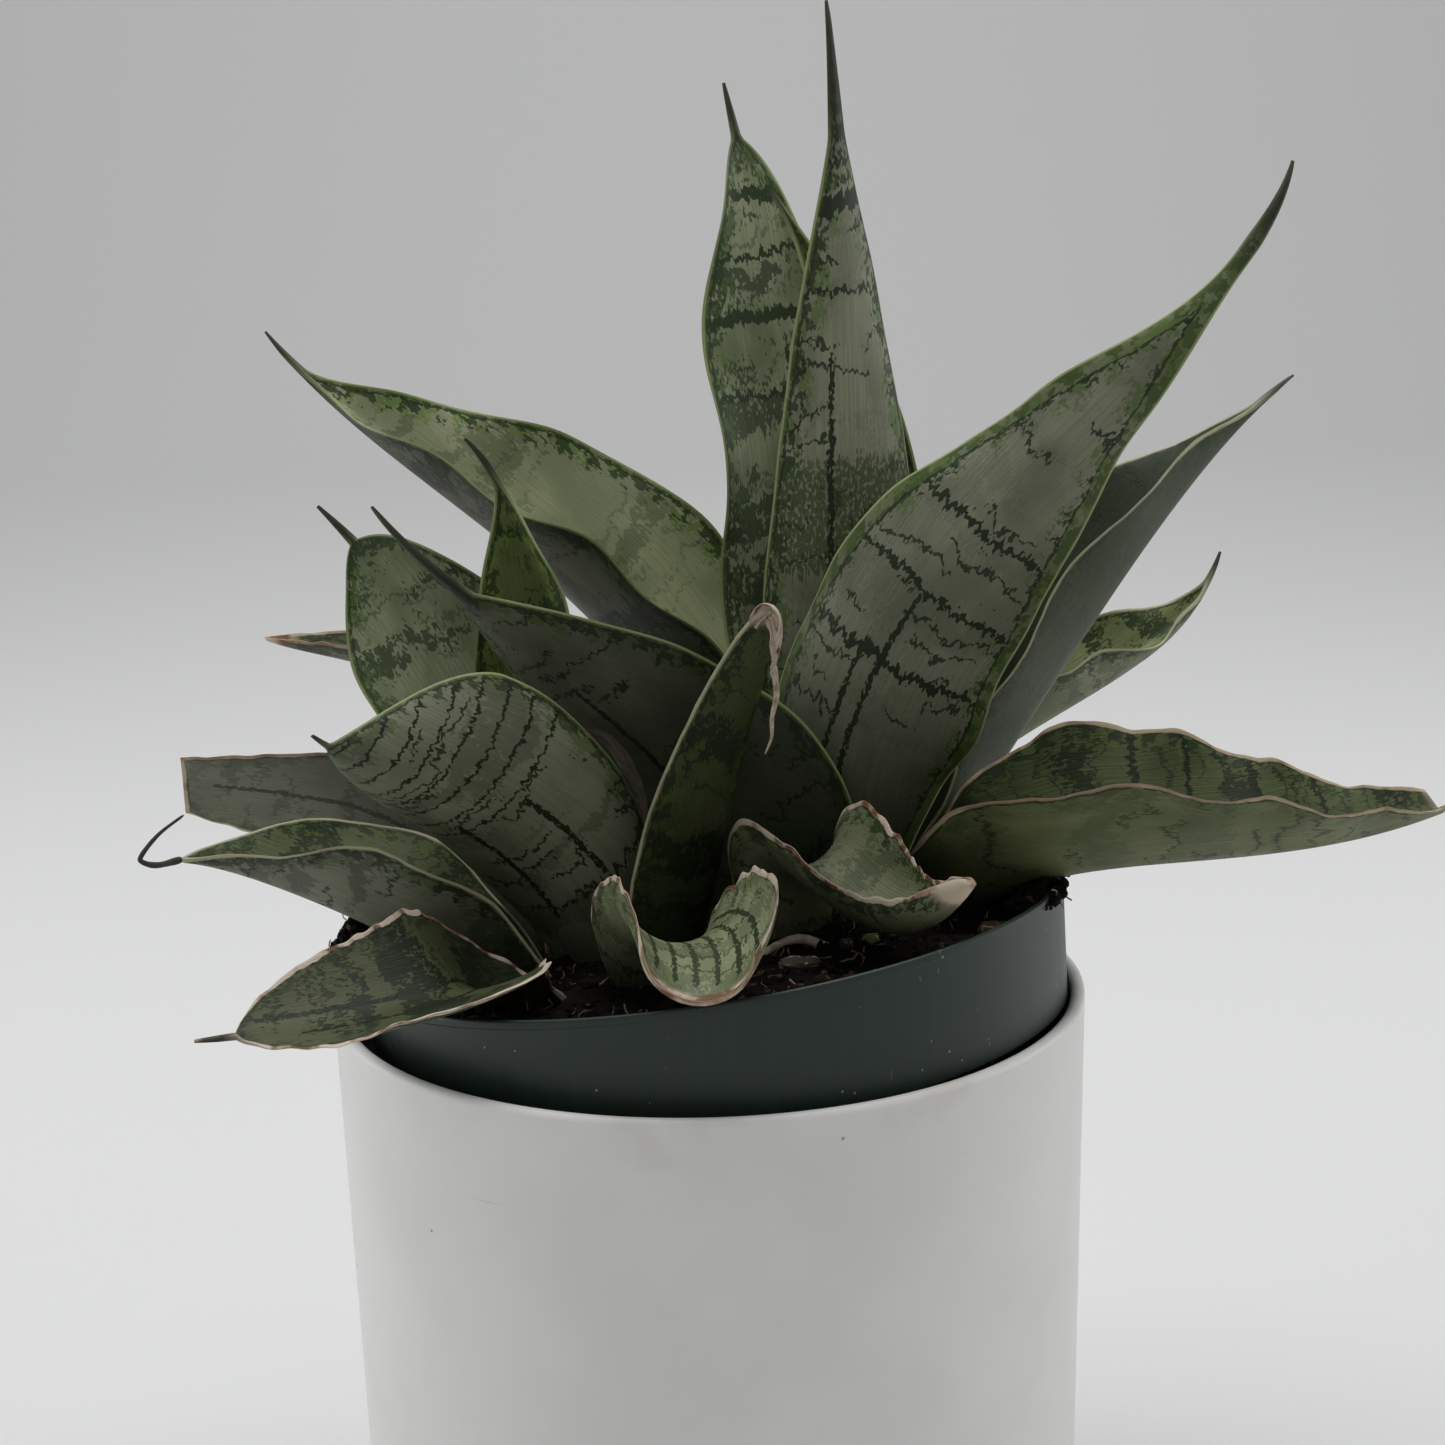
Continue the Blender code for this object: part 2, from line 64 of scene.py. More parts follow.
# The nursery pot stands askew in the cover pot: its rim is raised at the right and at the front
RIM_CENTRE = Vector((0.6, 1.0, 154.5)) * MM
LEAN_RIGHT = math.radians(7.2)
LEAN_FRONT = math.radians(4.8)
BAND_SLOPE = math.tan(math.radians(6))  # of the band round its rim
LIP_CENTRE = Vector((0, 0, 140)) * MM  # of the cover pot
SOIL_DROP = 6 * MM
FOOT_DEPTH = 8 * MM

# How a leaf is folded, how its margins run and how it ends
FOLD_WIDTH = 0.22  # part of the half width over which a folded leaf turns
MARGIN_WANDER = 0.035  # how unevenly a margin runs, as part of the half width
CRINKLE = 0.7 * MM  # height of the crinkles of a dried margin
AWN_SLOPE = 0.08  # how fast the needle at a leaf's tip thickens
TIP_RADIUS = 0.3 * MM

# One leaf. Lengths in mm, angles in degrees, the rest as parts of one.
#   foot: where it enters the soil, or a point in the air; rise, bow, tip: the rest of its spine's cubic curve
#   facing: plan direction of its upper face at the foot; twist: how far it turns by the tip
#   width: greatest width, at `widest` along the blade; base and end: width at the foot and the end
#   taper: how full the blade stays towards the end
#   fold and cup: sharp and round turn of each half, at the foot and at the tip
#   awn: dry needle at the tip; wave, waves: height and number of ripples along the margins
Leaf = namedtuple(
    "Leaf", "name foot rise bow tip facing twist width widest base taper end fold cup awn wave waves"
)

LEAVES = (
    # right-hand crown
    Leaf("leaf_tall_centre", (27, 24), (35, 20, 220), (35, 35, 290), (29, 8, 341),
         80, 60, 38, 0.35, 0.5, 0.75, 0, (0, 0), (30, 30), 28, 0, 0),
    Leaf("leaf_tall_back", (19, 41), (25, 45, 220), (20, 50, 270), (9, 56, 325),
         -75, 10, 37, 0.6, 0.45, 0.65, 0, (0, 0), (30, 25), 12, 2.0, 3),
    Leaf("leaf_young_centre", (26, 34), (40, 35, 210), (45, 35, 260), (18, 38, 303),
         -80, 5, 28, 0.45, 0.5, 1.2, 0, (0, 0), (30, 30), 5, 0, 0),
    Leaf("leaf_big_right", (30, 14), (15, 5, 230), (105, -35, 270), (118, -12, 308),
         65, 0, 47, 0.35, 0.3, 1.5, 0, (5, 0), (35, 15), 18, 1.4, 4),
    Leaf("leaf_right_folded", (43, 36), (75, 35, 195), (105, 30, 245), (132, 49, 259),
         -160, -20, 55, 0.55, 0.3, 1.3, 0, (50, 35), (20, 10), 10, 1.0, 4),
    Leaf("leaf_right_wavy", (31, 46), (65, 62, 188), (110, 70, 182), (122, 78, 215),
         -180, 45, 44, 0.5, 0.3, 1.1, 0, (50, 35), (25, 15), 7, 1.5, 5),
    Leaf("leaf_low_right", (51, 3), (65, -20, 180), (105, -25, 165), (151, -11, 176),
         145, 0, 64, 0.35, 0.35, 1.2, 0.18, (50, 35), (30, 5), 0, 1.0, 5),
    Leaf("leaf_upper_left", (8, 63), (0, 70, 215), (-65, 55, 235), (-94, 61, 274),
         -20, -10, 68, 0.45, 0.25, 1.1, 0, (55, 45), (25, 10), 11, 1.4, 5),
    Leaf("leaf_left_awned", (13, 10), (5, 5, 200), (-40, -5, 210), (-64, -14, 246),
         75, -30, 58, 0.3, 0.35, 0.7, 0, (0, 0), (35, 10), 27, 0, 0),
    Leaf("leaf_front_curled", (20, -5), (15, -10, 200), (30, -40, 140), (51, -52, 176),
         105, 0, 38, 0.4, 0.45, 0.75, 0.09, (5, 25), (70, 60), 0, 0, 0),
    # left-hand crown
    Leaf("leaf_withered_tip", (-9, -9), (0, -15, 195), (10, -15, 205), (14, -22, 225),
         125, 5, 24, 0.3, 0.5, 0.5, 0, (0, 0), (40, 40), 0, 0, 0),
    Leaf("leaf_hooded", (-18, 1), (-30, -5, 185), (-60, -30, 190), (-75, -40, 206),
         85, -10, 58, 0.7, 0.35, 1.0, 0, (0, 5), (45, 80), 4, 0, 0),
    Leaf("leaf_pale_left", (-42, 19), (-55, 25, 180), (-90, 25, 175), (-113, 27, 180),
         -95, -40, 38, 0.4, 0.4, 1.1, 0.55, (0, 0), (20, 5), 0, 0, 0),
    Leaf("leaf_left_folded", (-35, -8), (-60, -10, 155), (-95, 0, 170), (-108, -12, 174),
         10, -10, 54, 0.5, 0.3, 1.3, 0, (45, 30), (30, 10), 0, 0.8, 3),
    Leaf("leaf_far_left", (-28, 50), (-50, 60, 205), (-75, 65, 195), (-100, 70, 203),
         -15, -5, 28, 0.4, 0.4, 0.8, 0, (35, 35), (20, 15), 0, 0, 0),
    Leaf("leaf_left_broad", (-33, 34), (-45, 40, 185), (-60, 40, 215), (-82, 40, 238),
         -70, 0, 43, 0.6, 0.35, 0.6, 0, (0, 0), (30, 30), 11, 1.5, 3),
    Leaf("leaf_narrow_folded", (-20, 33), (-40, 35, 195), (-30, 30, 235), (-48, 23, 254),
         -105, -5, 32, 0.6, 0.35, 1.1, 0, (30, 30), (20, 20), 11, 0.8, 4),
    Leaf("leaf_low_left", (-29, -24), (-70, -40, 160), (-20, -50, 155), (-97, -66, 154),
         25, 0, 40, 0.5, 0.3, 0.5, 0, (40, 5), (35, 10), 8, 0.8, 3),
    Leaf("leaf_front_cut", (-10, -20), (-10, -40, 165), (0, -55, 170), (-3, -79, 163),
         100, -10, 47, 0.75, 0.45, 1.0, 0.75, (0, 5), (75, 90), 0, 0, 0),
)

# Dry scraps still on the plant, built as small leaves
SCRAPS = (
    Leaf("dry_sheath", (-25, -4, 197), (-19, -3, 196), (-14, -4, 188), (-12, -5, 176),
         40, 20, 3.5, 0.5, 0.3, 0.8, 0.2, (0, 0), (60, 40), 0, 0.5, 2),
    Leaf("withered_curl", (11, -22, 221), (14, -22, 229), (19, -26, 223), (14, -26, 212),
         -120, 60, 5.5, 0.5, 0.4, 0.8, 0.1, (0, 0), (95, 70), 0, 0.5, 3),
)

# Thin strands, as points that they pass through and radii at their ends, all mm
Strand = namedtuple("Strand", "name points radii slot finish")
STRANDS = (
    Strand("pale_root", ((8, -21, 149), (13, -16.5, 152.5), (19, -14, 153.5), (25, -16, 152)),
           (0.7, 1.1), "root", "root"),
    Strand("withered_thread",
           ((14.5, -25, 214), (15, -24.6, 208), (14, -24.4, 203), (13.8, -24.4, 199), (12.4, -24, 195.5)),
           (0.75, 0.16), "leaf", "papery"),
    Strand("hair_tip",
           ((-107, -11.6, 174), (-112, -12, 173), (-115, -12, 173.6), (-115.4, -12, 175),
            (-111.5, -12, 179.5), (-106, -12, 183.5)), (0.75, 0.3), "leaf", "awn"),
)

# Chips on the soil: node, slot, colour and the colour of its broken faces
CHIPS = (
    ("bark_chip_front", "bark", (0.12, 0.095, 0.07), (0.62, 0.60, 0.55)),
    ("bark_chip_small", "bark", (0.08, 0.06, 0.04), (0.3, 0.26, 0.2)),
    ("bark_chip_right", "bark", (0.07, 0.045, 0.03), (0.24, 0.17, 0.1)),
    ("leaf_fragment", "green_fragment", (0.22, 0.27, 0.08), (0.4, 0.42, 0.2)),
)

# Heaps of soil: plan position, spread and height, mm
SOIL_HEAPS = ((62, 8, 15, 7), (-60, 30, 14, 7))
# Soil spilt over the rim: middle and half spread in degrees, height and how far it reaches out in mm
SPILLS = ((0, 26, 6.0, 0), (175, 17, 11.0, 5))

# Area lights: name, place, what it is aimed at, its setting, part of that power, diameter
LIGHTS = (
    ("left_softbox", (-1.0, 0.25, 0.30), (0, 0, 0.15), "side_light", 1, 0.7),
    ("right_softbox", (1.0, 0.30, 0.32), (0, 0, 0.15), "side_light", 0.85, 0.7),
    ("top_softbox", (0, 0.15, 1.1), (0, 0.05, 0.1), "top_light", 1, 0.9),
    ("wall_light", (0, 0.9, 1.9), (0, 2.6, 1.1), "wall_light", 1, 1.4),
)

# A face's colours (linear) and how strongly each marking shows on it
#   pale, cloud: the ground and its clouding; dark: bands, lines and dots, and the painted shade towards the
#       foot; moss: flecks near the margins
Face = namedtuple("Face", "pale cloud dark moss bands lines flecks")
SILVER = Face((0.24, 0.252, 0.17), (0.155, 0.17, 0.108), (0.014, 0.024, 0.009), (0.085, 0.14, 0.03),
              0.15, 0.9, 0.9)
STEEL = Face((0.21, 0.23, 0.145), (0.11, 0.135, 0.07), (0.02, 0.035, 0.014), (0.07, 0.12, 0.03),
             0.8, 0.45, 0.8)
SAGE = Face((0.26, 0.285, 0.17), (0.17, 0.195, 0.10), (0.025, 0.04, 0.015), (0.12, 0.17, 0.045),
            0.4, 0.7, 0.8)
IVY = Face((0.11, 0.135, 0.05), (0.065, 0.09, 0.025), (0.010, 0.022, 0.005), (0.11, 0.16, 0.03),
           0.85, 0.6, 0.85)
OLIVE = Face((0.18, 0.205, 0.092), (0.12, 0.145, 0.055), (0.015, 0.03, 0.008), (0.14, 0.17, 0.055),
             0.9, 0.7, 0.6)
ASHEN = Face((0.22, 0.225, 0.155), (0.15, 0.16, 0.105), (0.045, 0.06, 0.033), (0.11, 0.14, 0.06),
             0.5, 0.5, 0.4)

# A margin's colours, how wide its green stripe is in mm, and how far it has dried to paper
Margin = namedtuple("Margin", "line stripe width dried")
FRESH = Margin((0.30, 0.34, 0.16), (0.085, 0.14, 0.025), 1.3, 0.0)
BROAD = FRESH._replace(width=3.2)
PALE_EDGED = Margin((0.44, 0.43, 0.28), (0.13, 0.17, 0.06), 1.2, 0.15)
BROWNED = Margin((0.44, 0.35, 0.23), (0.10, 0.12, 0.04), 0.9, 0.55)
PAPERY = Margin((0.62, 0.53, 0.42), (0.24, 0.19, 0.11), 1.1, 1.0)

# What is on each leaf: its upper and under face, its margin, how bright each face is, and what else it has.
# The brightness (tone) of each face is partly the leaf's own colour and partly painted light and shade: a
# brightly lit face is painted paler and a shaded one darker.
#   deep: part of its length up to which it is darkened with painted shade, for the shadow low in the crown;
#       dried: part from which it is dried up
#   streaks: long dark lines (face: 1 upper, 0 under; mm from the midrib; from and to, as parts of the length)
#   zigzags: dark cross bands (face, place and half height, as parts); mottles: dark patches (face, from, to)
NEVER = 2
Dress = namedtuple(
    "Dress", "upper under margin tone deep dried streaks zigzags mottles", defaults=(0.3, NEVER, (), (), ())
)


def both_faces(*marks):
    return tuple((face, *mark) for face in (0, 1) for mark in marks)


DRESSES = {
    "leaf_tall_centre": Dress(
        SAGE, SILVER, FRESH, (1.0, 1.25), streaks=both_faces((4.5, 0.34, 0.66)),
        zigzags=both_faces((0.79, 0.010), (0.83, 0.003), (0.86, 0.005), (0.70, 0.002)),
        mottles=both_faces((0.39, 0.53))),
    "leaf_tall_back": Dress(
        STEEL, STEEL._replace(dark=(0.035, 0.05, 0.025), bands=0.5), FRESH, (1.6, 1.6), 0.2,
        streaks=((1, 3.0, 0.4, 0.72), (0, 2.0, 0.3, 0.72)),
        zigzags=both_faces((0.87, 0.006), (0.80, 0.003), (0.73, 0.007), (0.64, 0.003))),
    "leaf_young_centre": Dress(OLIVE, STEEL, FRESH, (0.8, 0.8)),
    "leaf_big_right": Dress(
        STEEL, SILVER, BROAD, (0.85, 1.0), 0.4, streaks=((0, 1.5, 0.08, 0.45), (0, 6.0, 0.05, 0.38)),
        zigzags=((0, 0.34, 0.004), (0, 0.43, 0.003), (0, 0.52, 0.003))),
    "leaf_right_folded": Dress(SAGE, SAGE, PALE_EDGED, (0.68, 0.95), 0.03),
    "leaf_right_wavy": Dress(OLIVE, SAGE, PALE_EDGED, (1.25, 0.8)),
    "leaf_low_right": Dress(
        IVY, OLIVE._replace(bands=0.25, flecks=0.3), BROWNED, (0.85, 0.85), 0.3, 0.985,
        ((1, 9.0, 0.5, 0.98), (1, 14.0, 0.3, 0.7)),
        ((1, 0.45, 0.006), (1, 0.55, 0.004), (1, 0.68, 0.006), (1, 0.8, 0.004))),
    "leaf_upper_left": Dress(SILVER._replace(bands=0.4, lines=0.3), STEEL, FRESH, (2.15, 0.5), 0.22),
    "leaf_left_awned": Dress(STEEL, SILVER, FRESH, (0.8, 0.7), 0.95, streaks=((0, 3.0, 0.2, 0.6),)),
    "leaf_front_curled": Dress(SAGE, SAGE, PAPERY, (0.75, 0.75), 0.2, 0.91),
    "leaf_withered_tip": Dress(IVY, IVY, PALE_EDGED, (0.55, 0.55), 0.6, 0.95),
    "leaf_hooded": Dress(
        IVY, SILVER._replace(bands=0.35, flecks=0.8), FRESH, (0.8, 1.1), 0.35,
        streaks=((0, 6.0, 0.2, 0.6), (0, -8.0, 0.25, 0.55)),
        zigzags=tuple((0, 0.55 + 0.055 * n, 0.002) for n in range(8))),
    "leaf_pale_left": Dress(
        ASHEN, ASHEN, BROWNED, (0.82, 0.82), 0.2, 0.99, ((1, 2.0, 0.2, 0.95), (1, -6.0, 0.3, 0.7))),
    "leaf_left_folded": Dress(IVY, SILVER._replace(bands=0.5), PALE_EDGED, (0.9, 0.78), 0.55),
    "leaf_far_left": Dress(OLIVE, STEEL, BROWNED, (0.7, 0.7), 0.3, 0.93),
    "leaf_left_broad": Dress(STEEL, STEEL, FRESH, (1.6, 1.6)),
    "leaf_narrow_folded": Dress(IVY, STEEL, FRESH, (1.7, 1.7)),
    "leaf_low_left": Dress(
        OLIVE, OLIVE, PAPERY, (0.48, 0.6), 0.5, 0.98, ((1, 3.0, 0.2, 0.9), (1, -4.0, 0.3, 0.8))),
    "leaf_front_cut": Dress(
        SAGE._replace(flecks=0.3), SAGE, PAPERY, (1.1, 0.85), 0.3, 0.965,
        tuple((1, 4.5 * n, 0.3, 0.96) for n in range(-3, 4))),
}


# ---------------------------------------------------------------- settings shown in the sidebar


def number(name, description, default, **more):
    return FloatProperty(name=name, description=description, default=default, **more)


def lengths(name, description, metres):
    return number(name, description, metres, unit="LENGTH")


def angles(name, description, degrees):
    return number(name, description, math.radians(degrees), subtype="ANGLE")


def power(name, description, watts):
    return number(name, description, watts, unit="POWER")


def count(name, description, default, least=0):
    return IntProperty(name=name, description=description, default=default, min=least)


def colour(name, description, default):
    return FloatVectorProperty(name=name, description=description, default=default, subtype="COLOR", max=1)


class PotSettings(bpy.types.PropertyGroup):
    cover_height: lengths("Cover height", "Height of the ceramic pot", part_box("cover_pot")[1].z)
    cover_radius: lengths("Cover radius", "Outside radius at the lip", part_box("cover_pot")[1].x)
    cover_wall: lengths("Cover wall", "Thickness of the ceramic", 2.9 * MM)
    cover_floor: lengths("Cover floor", "Thickness of the ceramic floor", 5 * MM)
    cover_taper: angles("Taper", "Slope of the ceramic wall", 1.15)
    nursery_radius: lengths("Nursery radius", "Outside radius of the plastic rim", 74.8 * MM)
    nursery_height: lengths("Nursery height", "Height of the plastic pot", 143 * MM)
    nursery_wall: lengths("Nursery wall", "Thickness of the plastic", 1.2 * MM)
    band_depth: lengths("Rim band", "Depth of the band round the plastic rim", 26 * MM)
    base_radius: lengths("Base radius", "Radius of the plastic base", 50 * MM)
    steps: count("Steps", "Faces round a pot", 192, 24)
    ceramic: colour("Ceramic", "Colour of the glaze", (0.87, 0.865, 0.85))
    plastic: colour("Plastic", "Colour of the nursery pot", (0.012, 0.026, 0.019))


class SoilSettings(bpy.types.PropertyGroup):
    crumbs: count("Crumbs", "Crumbs to a square metre of soil", 420000)
    clods: count("Clods", "Larger lumps to a square metre", 26000)
    fibres: count("Fibres", "Root and coir fibres to a square metre", 9000)
    seed: count("Seed", "Changes how the soil lies", 4)
    # the peat colour is partly the soil's own and partly painted shade under the crown
    peat: colour("Peat", "Colour of the soil", (0.007, 0.005, 0.004))
    fibre: colour("Fibre", "Colour of the fibres", (0.16, 0.10, 0.055))


class LeafSettings(bpy.types.PropertyGroup):
    rows: count("Rows", "Rows of faces along a leaf", 150, 20)
    columns: count("Columns", "Columns of points across a face", 27, 7)
    thickness: lengths("Thickness", "Thickness at the midrib", 2.2 * MM)
    paper: colour("Dried margin", "Colour of dried leaf", (0.60, 0.50, 0.38))
    awn: colour("Awn", "Colour of the needle at the tip", (0.016, 0.020, 0.011))


class StudioSettings(bpy.types.PropertyGroup):
    floor: colour("Floor", "Colour of the floor and backdrop", (0.785, 0.788, 0.79))
    side_light: power("Side light", "Power of each side light", 2.6)
    top_light: power("Top light", "Power of the top light", 6.5)
    wall_light: power("Wall light", "Power of the light on the wall", 10.5)
    lens: number("Lens", "Focal length in mm", 70)
    distance: lengths("Distance", "From the camera to the middle of the cover pot's lip", 598.1 * MM)
    rise: angles("Rise", "How steeply the camera looks down on the lip", 18.84)
    pan: angles("Pan", "How far it is then turned to the right", 0.43)
    tilt: angles("Tilt", "How far it is then turned up", 5.27)
    roll: angles("Roll", "How far it is then tipped to its left", 1.78)


# ---------------------------------------------------------------- node building


def adds(operation):
    """A method of Wire that adds a Math node."""
    return lambda wire, *others: wire.board.math(operation, wire, *others)


class Wire:
    """A node's output. Arithmetic on it adds Math nodes."""

    def __init__(self, board, socket):
        self.board = board
        self.socket = socket

    def __rsub__(self, other):
        return self.board.math("SUBTRACT", other, self)

    __add__ = __radd__ = adds("ADD")
    __sub__ = adds("SUBTRACT")
    __mul__ = __rmul__ = adds("MULTIPLY")
    __truediv__ = adds("DIVIDE")
    __pow__ = adds("POWER")
    __abs__ = adds("ABSOLUTE")


class Board:
    """Adds nodes to a shader tree or a geometry tree."""

    def __init__(self, tree, material=None):
        self.tree = tree
        self.material = material

    def node(self, kind, sockets=None, output=0, **settings):
        """The wire from a new node: its settings first, then the values or links of its sockets."""
        made = self.tree.nodes.new(kind)
        for name, value in settings.items():
            setattr(made, name, value)
        for key, value in (sockets or {}).items():
            if isinstance(value, Wire):
                self.tree.links.new(value.socket, made.inputs[key])
            else:
                made.inputs[key].default_value = value
        return Wire(self, made.outputs[output]) if len(made.outputs) else None

    def geo(self, kind, sockets=None, **settings):
        return self.node("GeometryNode" + kind, sockets, **settings)

    def math(self, operation, *values):
        return self.node("ShaderNodeMath", dict(enumerate(values)), operation=operation)

    def vectors(self, operation, *values):
        return self.node("ShaderNodeVectorMath", dict(enumerate(values)), operation=operation)

    def vector(self, x, y, z):
        return self.node("ShaderNodeCombineXYZ", {0: x, 1: y, 2: z})

    def split(self, vector):
        first = self.node("ShaderNodeSeparateXYZ", {0: vector})
        return [Wire(self, output) for output in first.socket.node.outputs]

    def step(self, value, low, high):
        """0 below `low`, 1 above `high`, eased in between; the other way round if high is lower."""
        if high < low:
            return 1 - self.step(value, high, low)
        sockets = {"Value": value, "From Min": low, "From Max": high}
        return self.node("ShaderNodeMapRange", sockets, interpolation_type="SMOOTHSTEP")

    def noise(self, vector, scale=1.0, detail=2.0, distortion=0.0, output=0):
        sockets = {"Vector": vector, "Scale": scale, "Detail": detail, "Distortion": distortion}
        return self.node("ShaderNodeTexNoise", sockets, output)

    def specks(self, vector, scale):
        return self.node("ShaderNodeTexVoronoi", {"Vector": vector, "Scale": scale})

    def mix(self, first, second, factor):
        """A colour between two colours."""
        first, second = (c if isinstance(c, Wire) else (*c, 1) for c in (first, second))
        sockets = {0: factor, 6: first, 7: second}
        return self.node("ShaderNodeMix", sockets, 2, data_type="RGBA", clamp_factor=True)

    def object_place(self):
        return self.node("ShaderNodeTexCoord", output="Object")

    def stretched(self, vector, scale, turn=(0, 0, 0)):
        return self.node("ShaderNodeMapping", {0: vector, 2: turn, 3: scale})

    def attribute(self, name, output="Vector"):
        return self.node("ShaderNodeAttribute", output=output, attribute_name=name)

    def surface(self, shade, roughness, relief, depth, strength, specular=0.5):
        """Ends the board in a Principled surface, and gives its material."""
        bump = self.node("ShaderNodeBump", {"Height": relief, "Distance": depth, "Strength": strength})
        inputs = {"Base Color": shade, "Roughness": roughness, "Normal": bump, "Specular IOR Level": specular}
        shader = self.node("ShaderNodeBsdfPrincipled", inputs)
        self.node("ShaderNodeOutputMaterial", {"Surface": shader})
        return self.material


def shader_board(name):
    material = bpy.data.materials.new(name)
    material.use_nodes = True
    material.node_tree.nodes.clear()
    return Board(material.node_tree, material)


def toned(shade, tone):
    return tuple(c * tone for c in shade)


# ---------------------------------------------------------------- finishes


def ceramic_finish(base):
    """Satin white glaze with soft clouding, a few dark pinholes and a stained lip."""
    board = shader_board("satin_ceramic")
    place = board.object_place()
    _, _, z = board.split(place)
    cloud = board.noise(place, 28, 3)
    stain = board.step(board.noise(place, 60, 4), 0.52, 0.7) * board.step(z, 0.118, 0.139)
    pinholes = board.step(board.specks(place, 95), 0.05, 0.03)
    pinholes = pinholes * board.step(board.noise(place, 31, 0), 0.66, 0.68)
    scuff = board.step(board.noise(board.stretched(place, (40, 40, 900)), 1, 2), 0.735, 0.76)
    scuff = scuff * board.step(board.noise(place, 17, 1), 0.56, 0.64)
    shade = board.mix(toned(base, 0.95), base, board.step(cloud, 0.35, 0.65))
    shade = board.mix(shade, (0.66, 0.62, 0.5), stain * 0.3)
    shade = board.mix(shade, (0.5, 0.49, 0.47), scuff * 0.35)
    shade = board.mix(shade, (0.16, 0.13, 0.1), pinholes * 0.8)
    relief = board.noise(place, 900, 2) * 0.3 + cloud - pinholes
    return board.surface(shade, 0.36 + 0.12 * cloud + 0.1 * scuff, relief, 0.00008, 0.6)


def plastic_finish(base):
    """Moulded slate-green plastic with faint flow lines, scratches and dust."""
    board = shader_board("moulded_plastic")
    place = board.object_place()
    flow = board.noise(board.stretched(place, (420, 420, 14)), 1, 3)
    cloud = board.noise(place, 22, 3)
    warped = board.stretched(place, (900, 70, 160), (0.4, 0.7, 0.3))
    scratch = board.step(board.noise(warped, 1, 1, 1.5), 0.76, 0.79)
    scratch = scratch * board.step(board.noise(place, 30, 1), 0.5, 0.6)
    dust = board.step(board.specks(place, 320), 0.1, 0.06)
    dust = dust * board.step(board.noise(place, 60, 1), 0.56, 0.62)
    shade = board.mix(toned(base, 0.82), toned(base, 1.15), cloud)
    shade = board.mix(shade, toned(base, 1.35), board.step(flow, 0.45, 0.75) * 0.5)
    shade = board.mix(shade, (0.22, 0.24, 0.23), scratch * 0.5)
    shade = board.mix(shade, (0.4, 0.4, 0.38), dust * 0.7)
    relief = flow * 0.5 + cloud - scratch * 0.4
    return board.surface(shade, 0.38 + 0.14 * cloud + 0.08 * flow, relief, 0.00012, 0.5)


def peat_finish(name, base, wood):
    """Dark damp peat with browner crumbs, its colour darkened further with painted shade under the crown."""
    board = shader_board(name)
    place = board.object_place()
    patch = board.noise(place, 240, 3)
    shade = board.mix(toned(base, 0.55), toned(base, 1.7), board.step(patch, 0.3, 0.7))
    shade = board.mix(shade, wood, board.step(board.noise(place, 330, 1), 0.66, 0.72) * 0.55)
    relief = board.noise(place, 1400, 3) + patch
    return board.surface(shade, 0.78 + 0.2 * patch, relief, 0.0006, 0.8, specular=0.12)


def strand_finish(name, base, tip):
    """A dry strand: streaked along and darker in places."""
    board = shader_board(name)
    place = board.object_place()
    spots = board.noise(place, 420, 3)
    rings = board.noise(place, 1500, 2)
    shade = board.mix(base, tip, board.step(spots, 0.4, 0.62))
    shade = board.mix(shade, toned(base, 0.5), board.step(rings, 0.58, 0.72) * 0.6)
    return board.surface(shade, 0.6 + 0.25 * spots, rings + spots, 0.0003, 0.7)


def chip_finish(name, base, pale):
    """Splintered bark or leaf: grained, with pale broken faces."""
    board = shader_board(name)
    place = board.object_place()
    grain = board.noise(board.stretched(place, (300, 1700, 1700), (0.2, 0.1, 0.6)), 1, 3)
    broken = board.noise(place, 520, 3)
    shade = board.mix(base, toned(base, 0.4), grain)
    shade = board.mix(shade, pale, board.step(broken, 0.54, 0.64))
    return board.surface(shade, 0.75 + 0.2 * grain, grain + broken, 0.0005, 0.9)


def paper_finish(name, paper):
    """Dead leaf: papery, fibrous and stained."""
    board = shader_board(name)
    across, along, _ = board.split(board.attribute("blade"))
    fibre = board.noise(board.vector(across * 3.2, along * 0.25, 1), 1, 3)
    stain = board.noise(board.vector(across * 0.4, along * 0.3, 4), 1, 3)
    shade = board.mix(toned(paper, 1.1), toned(paper, 0.55), board.step(fibre, 0.4, 0.65))
    shade = board.mix(shade, (0.13, 0.07, 0.04), board.step(stain, 0.55, 0.68))
    return board.surface(shade, 0.65 + 0.25 * fibre, fibre + stain, 0.0006, 0.8)


def backdrop_finish(base):
    """Plain pale studio paper."""
    board = shader_board("studio_paper")
    tooth = board.noise(board.object_place(), 260, 3)
    return board.surface(board.mix(toned(base, 0.99), base, tooth), 0.85 + 0.1 * tooth, tooth, 0.0002, 0.3)


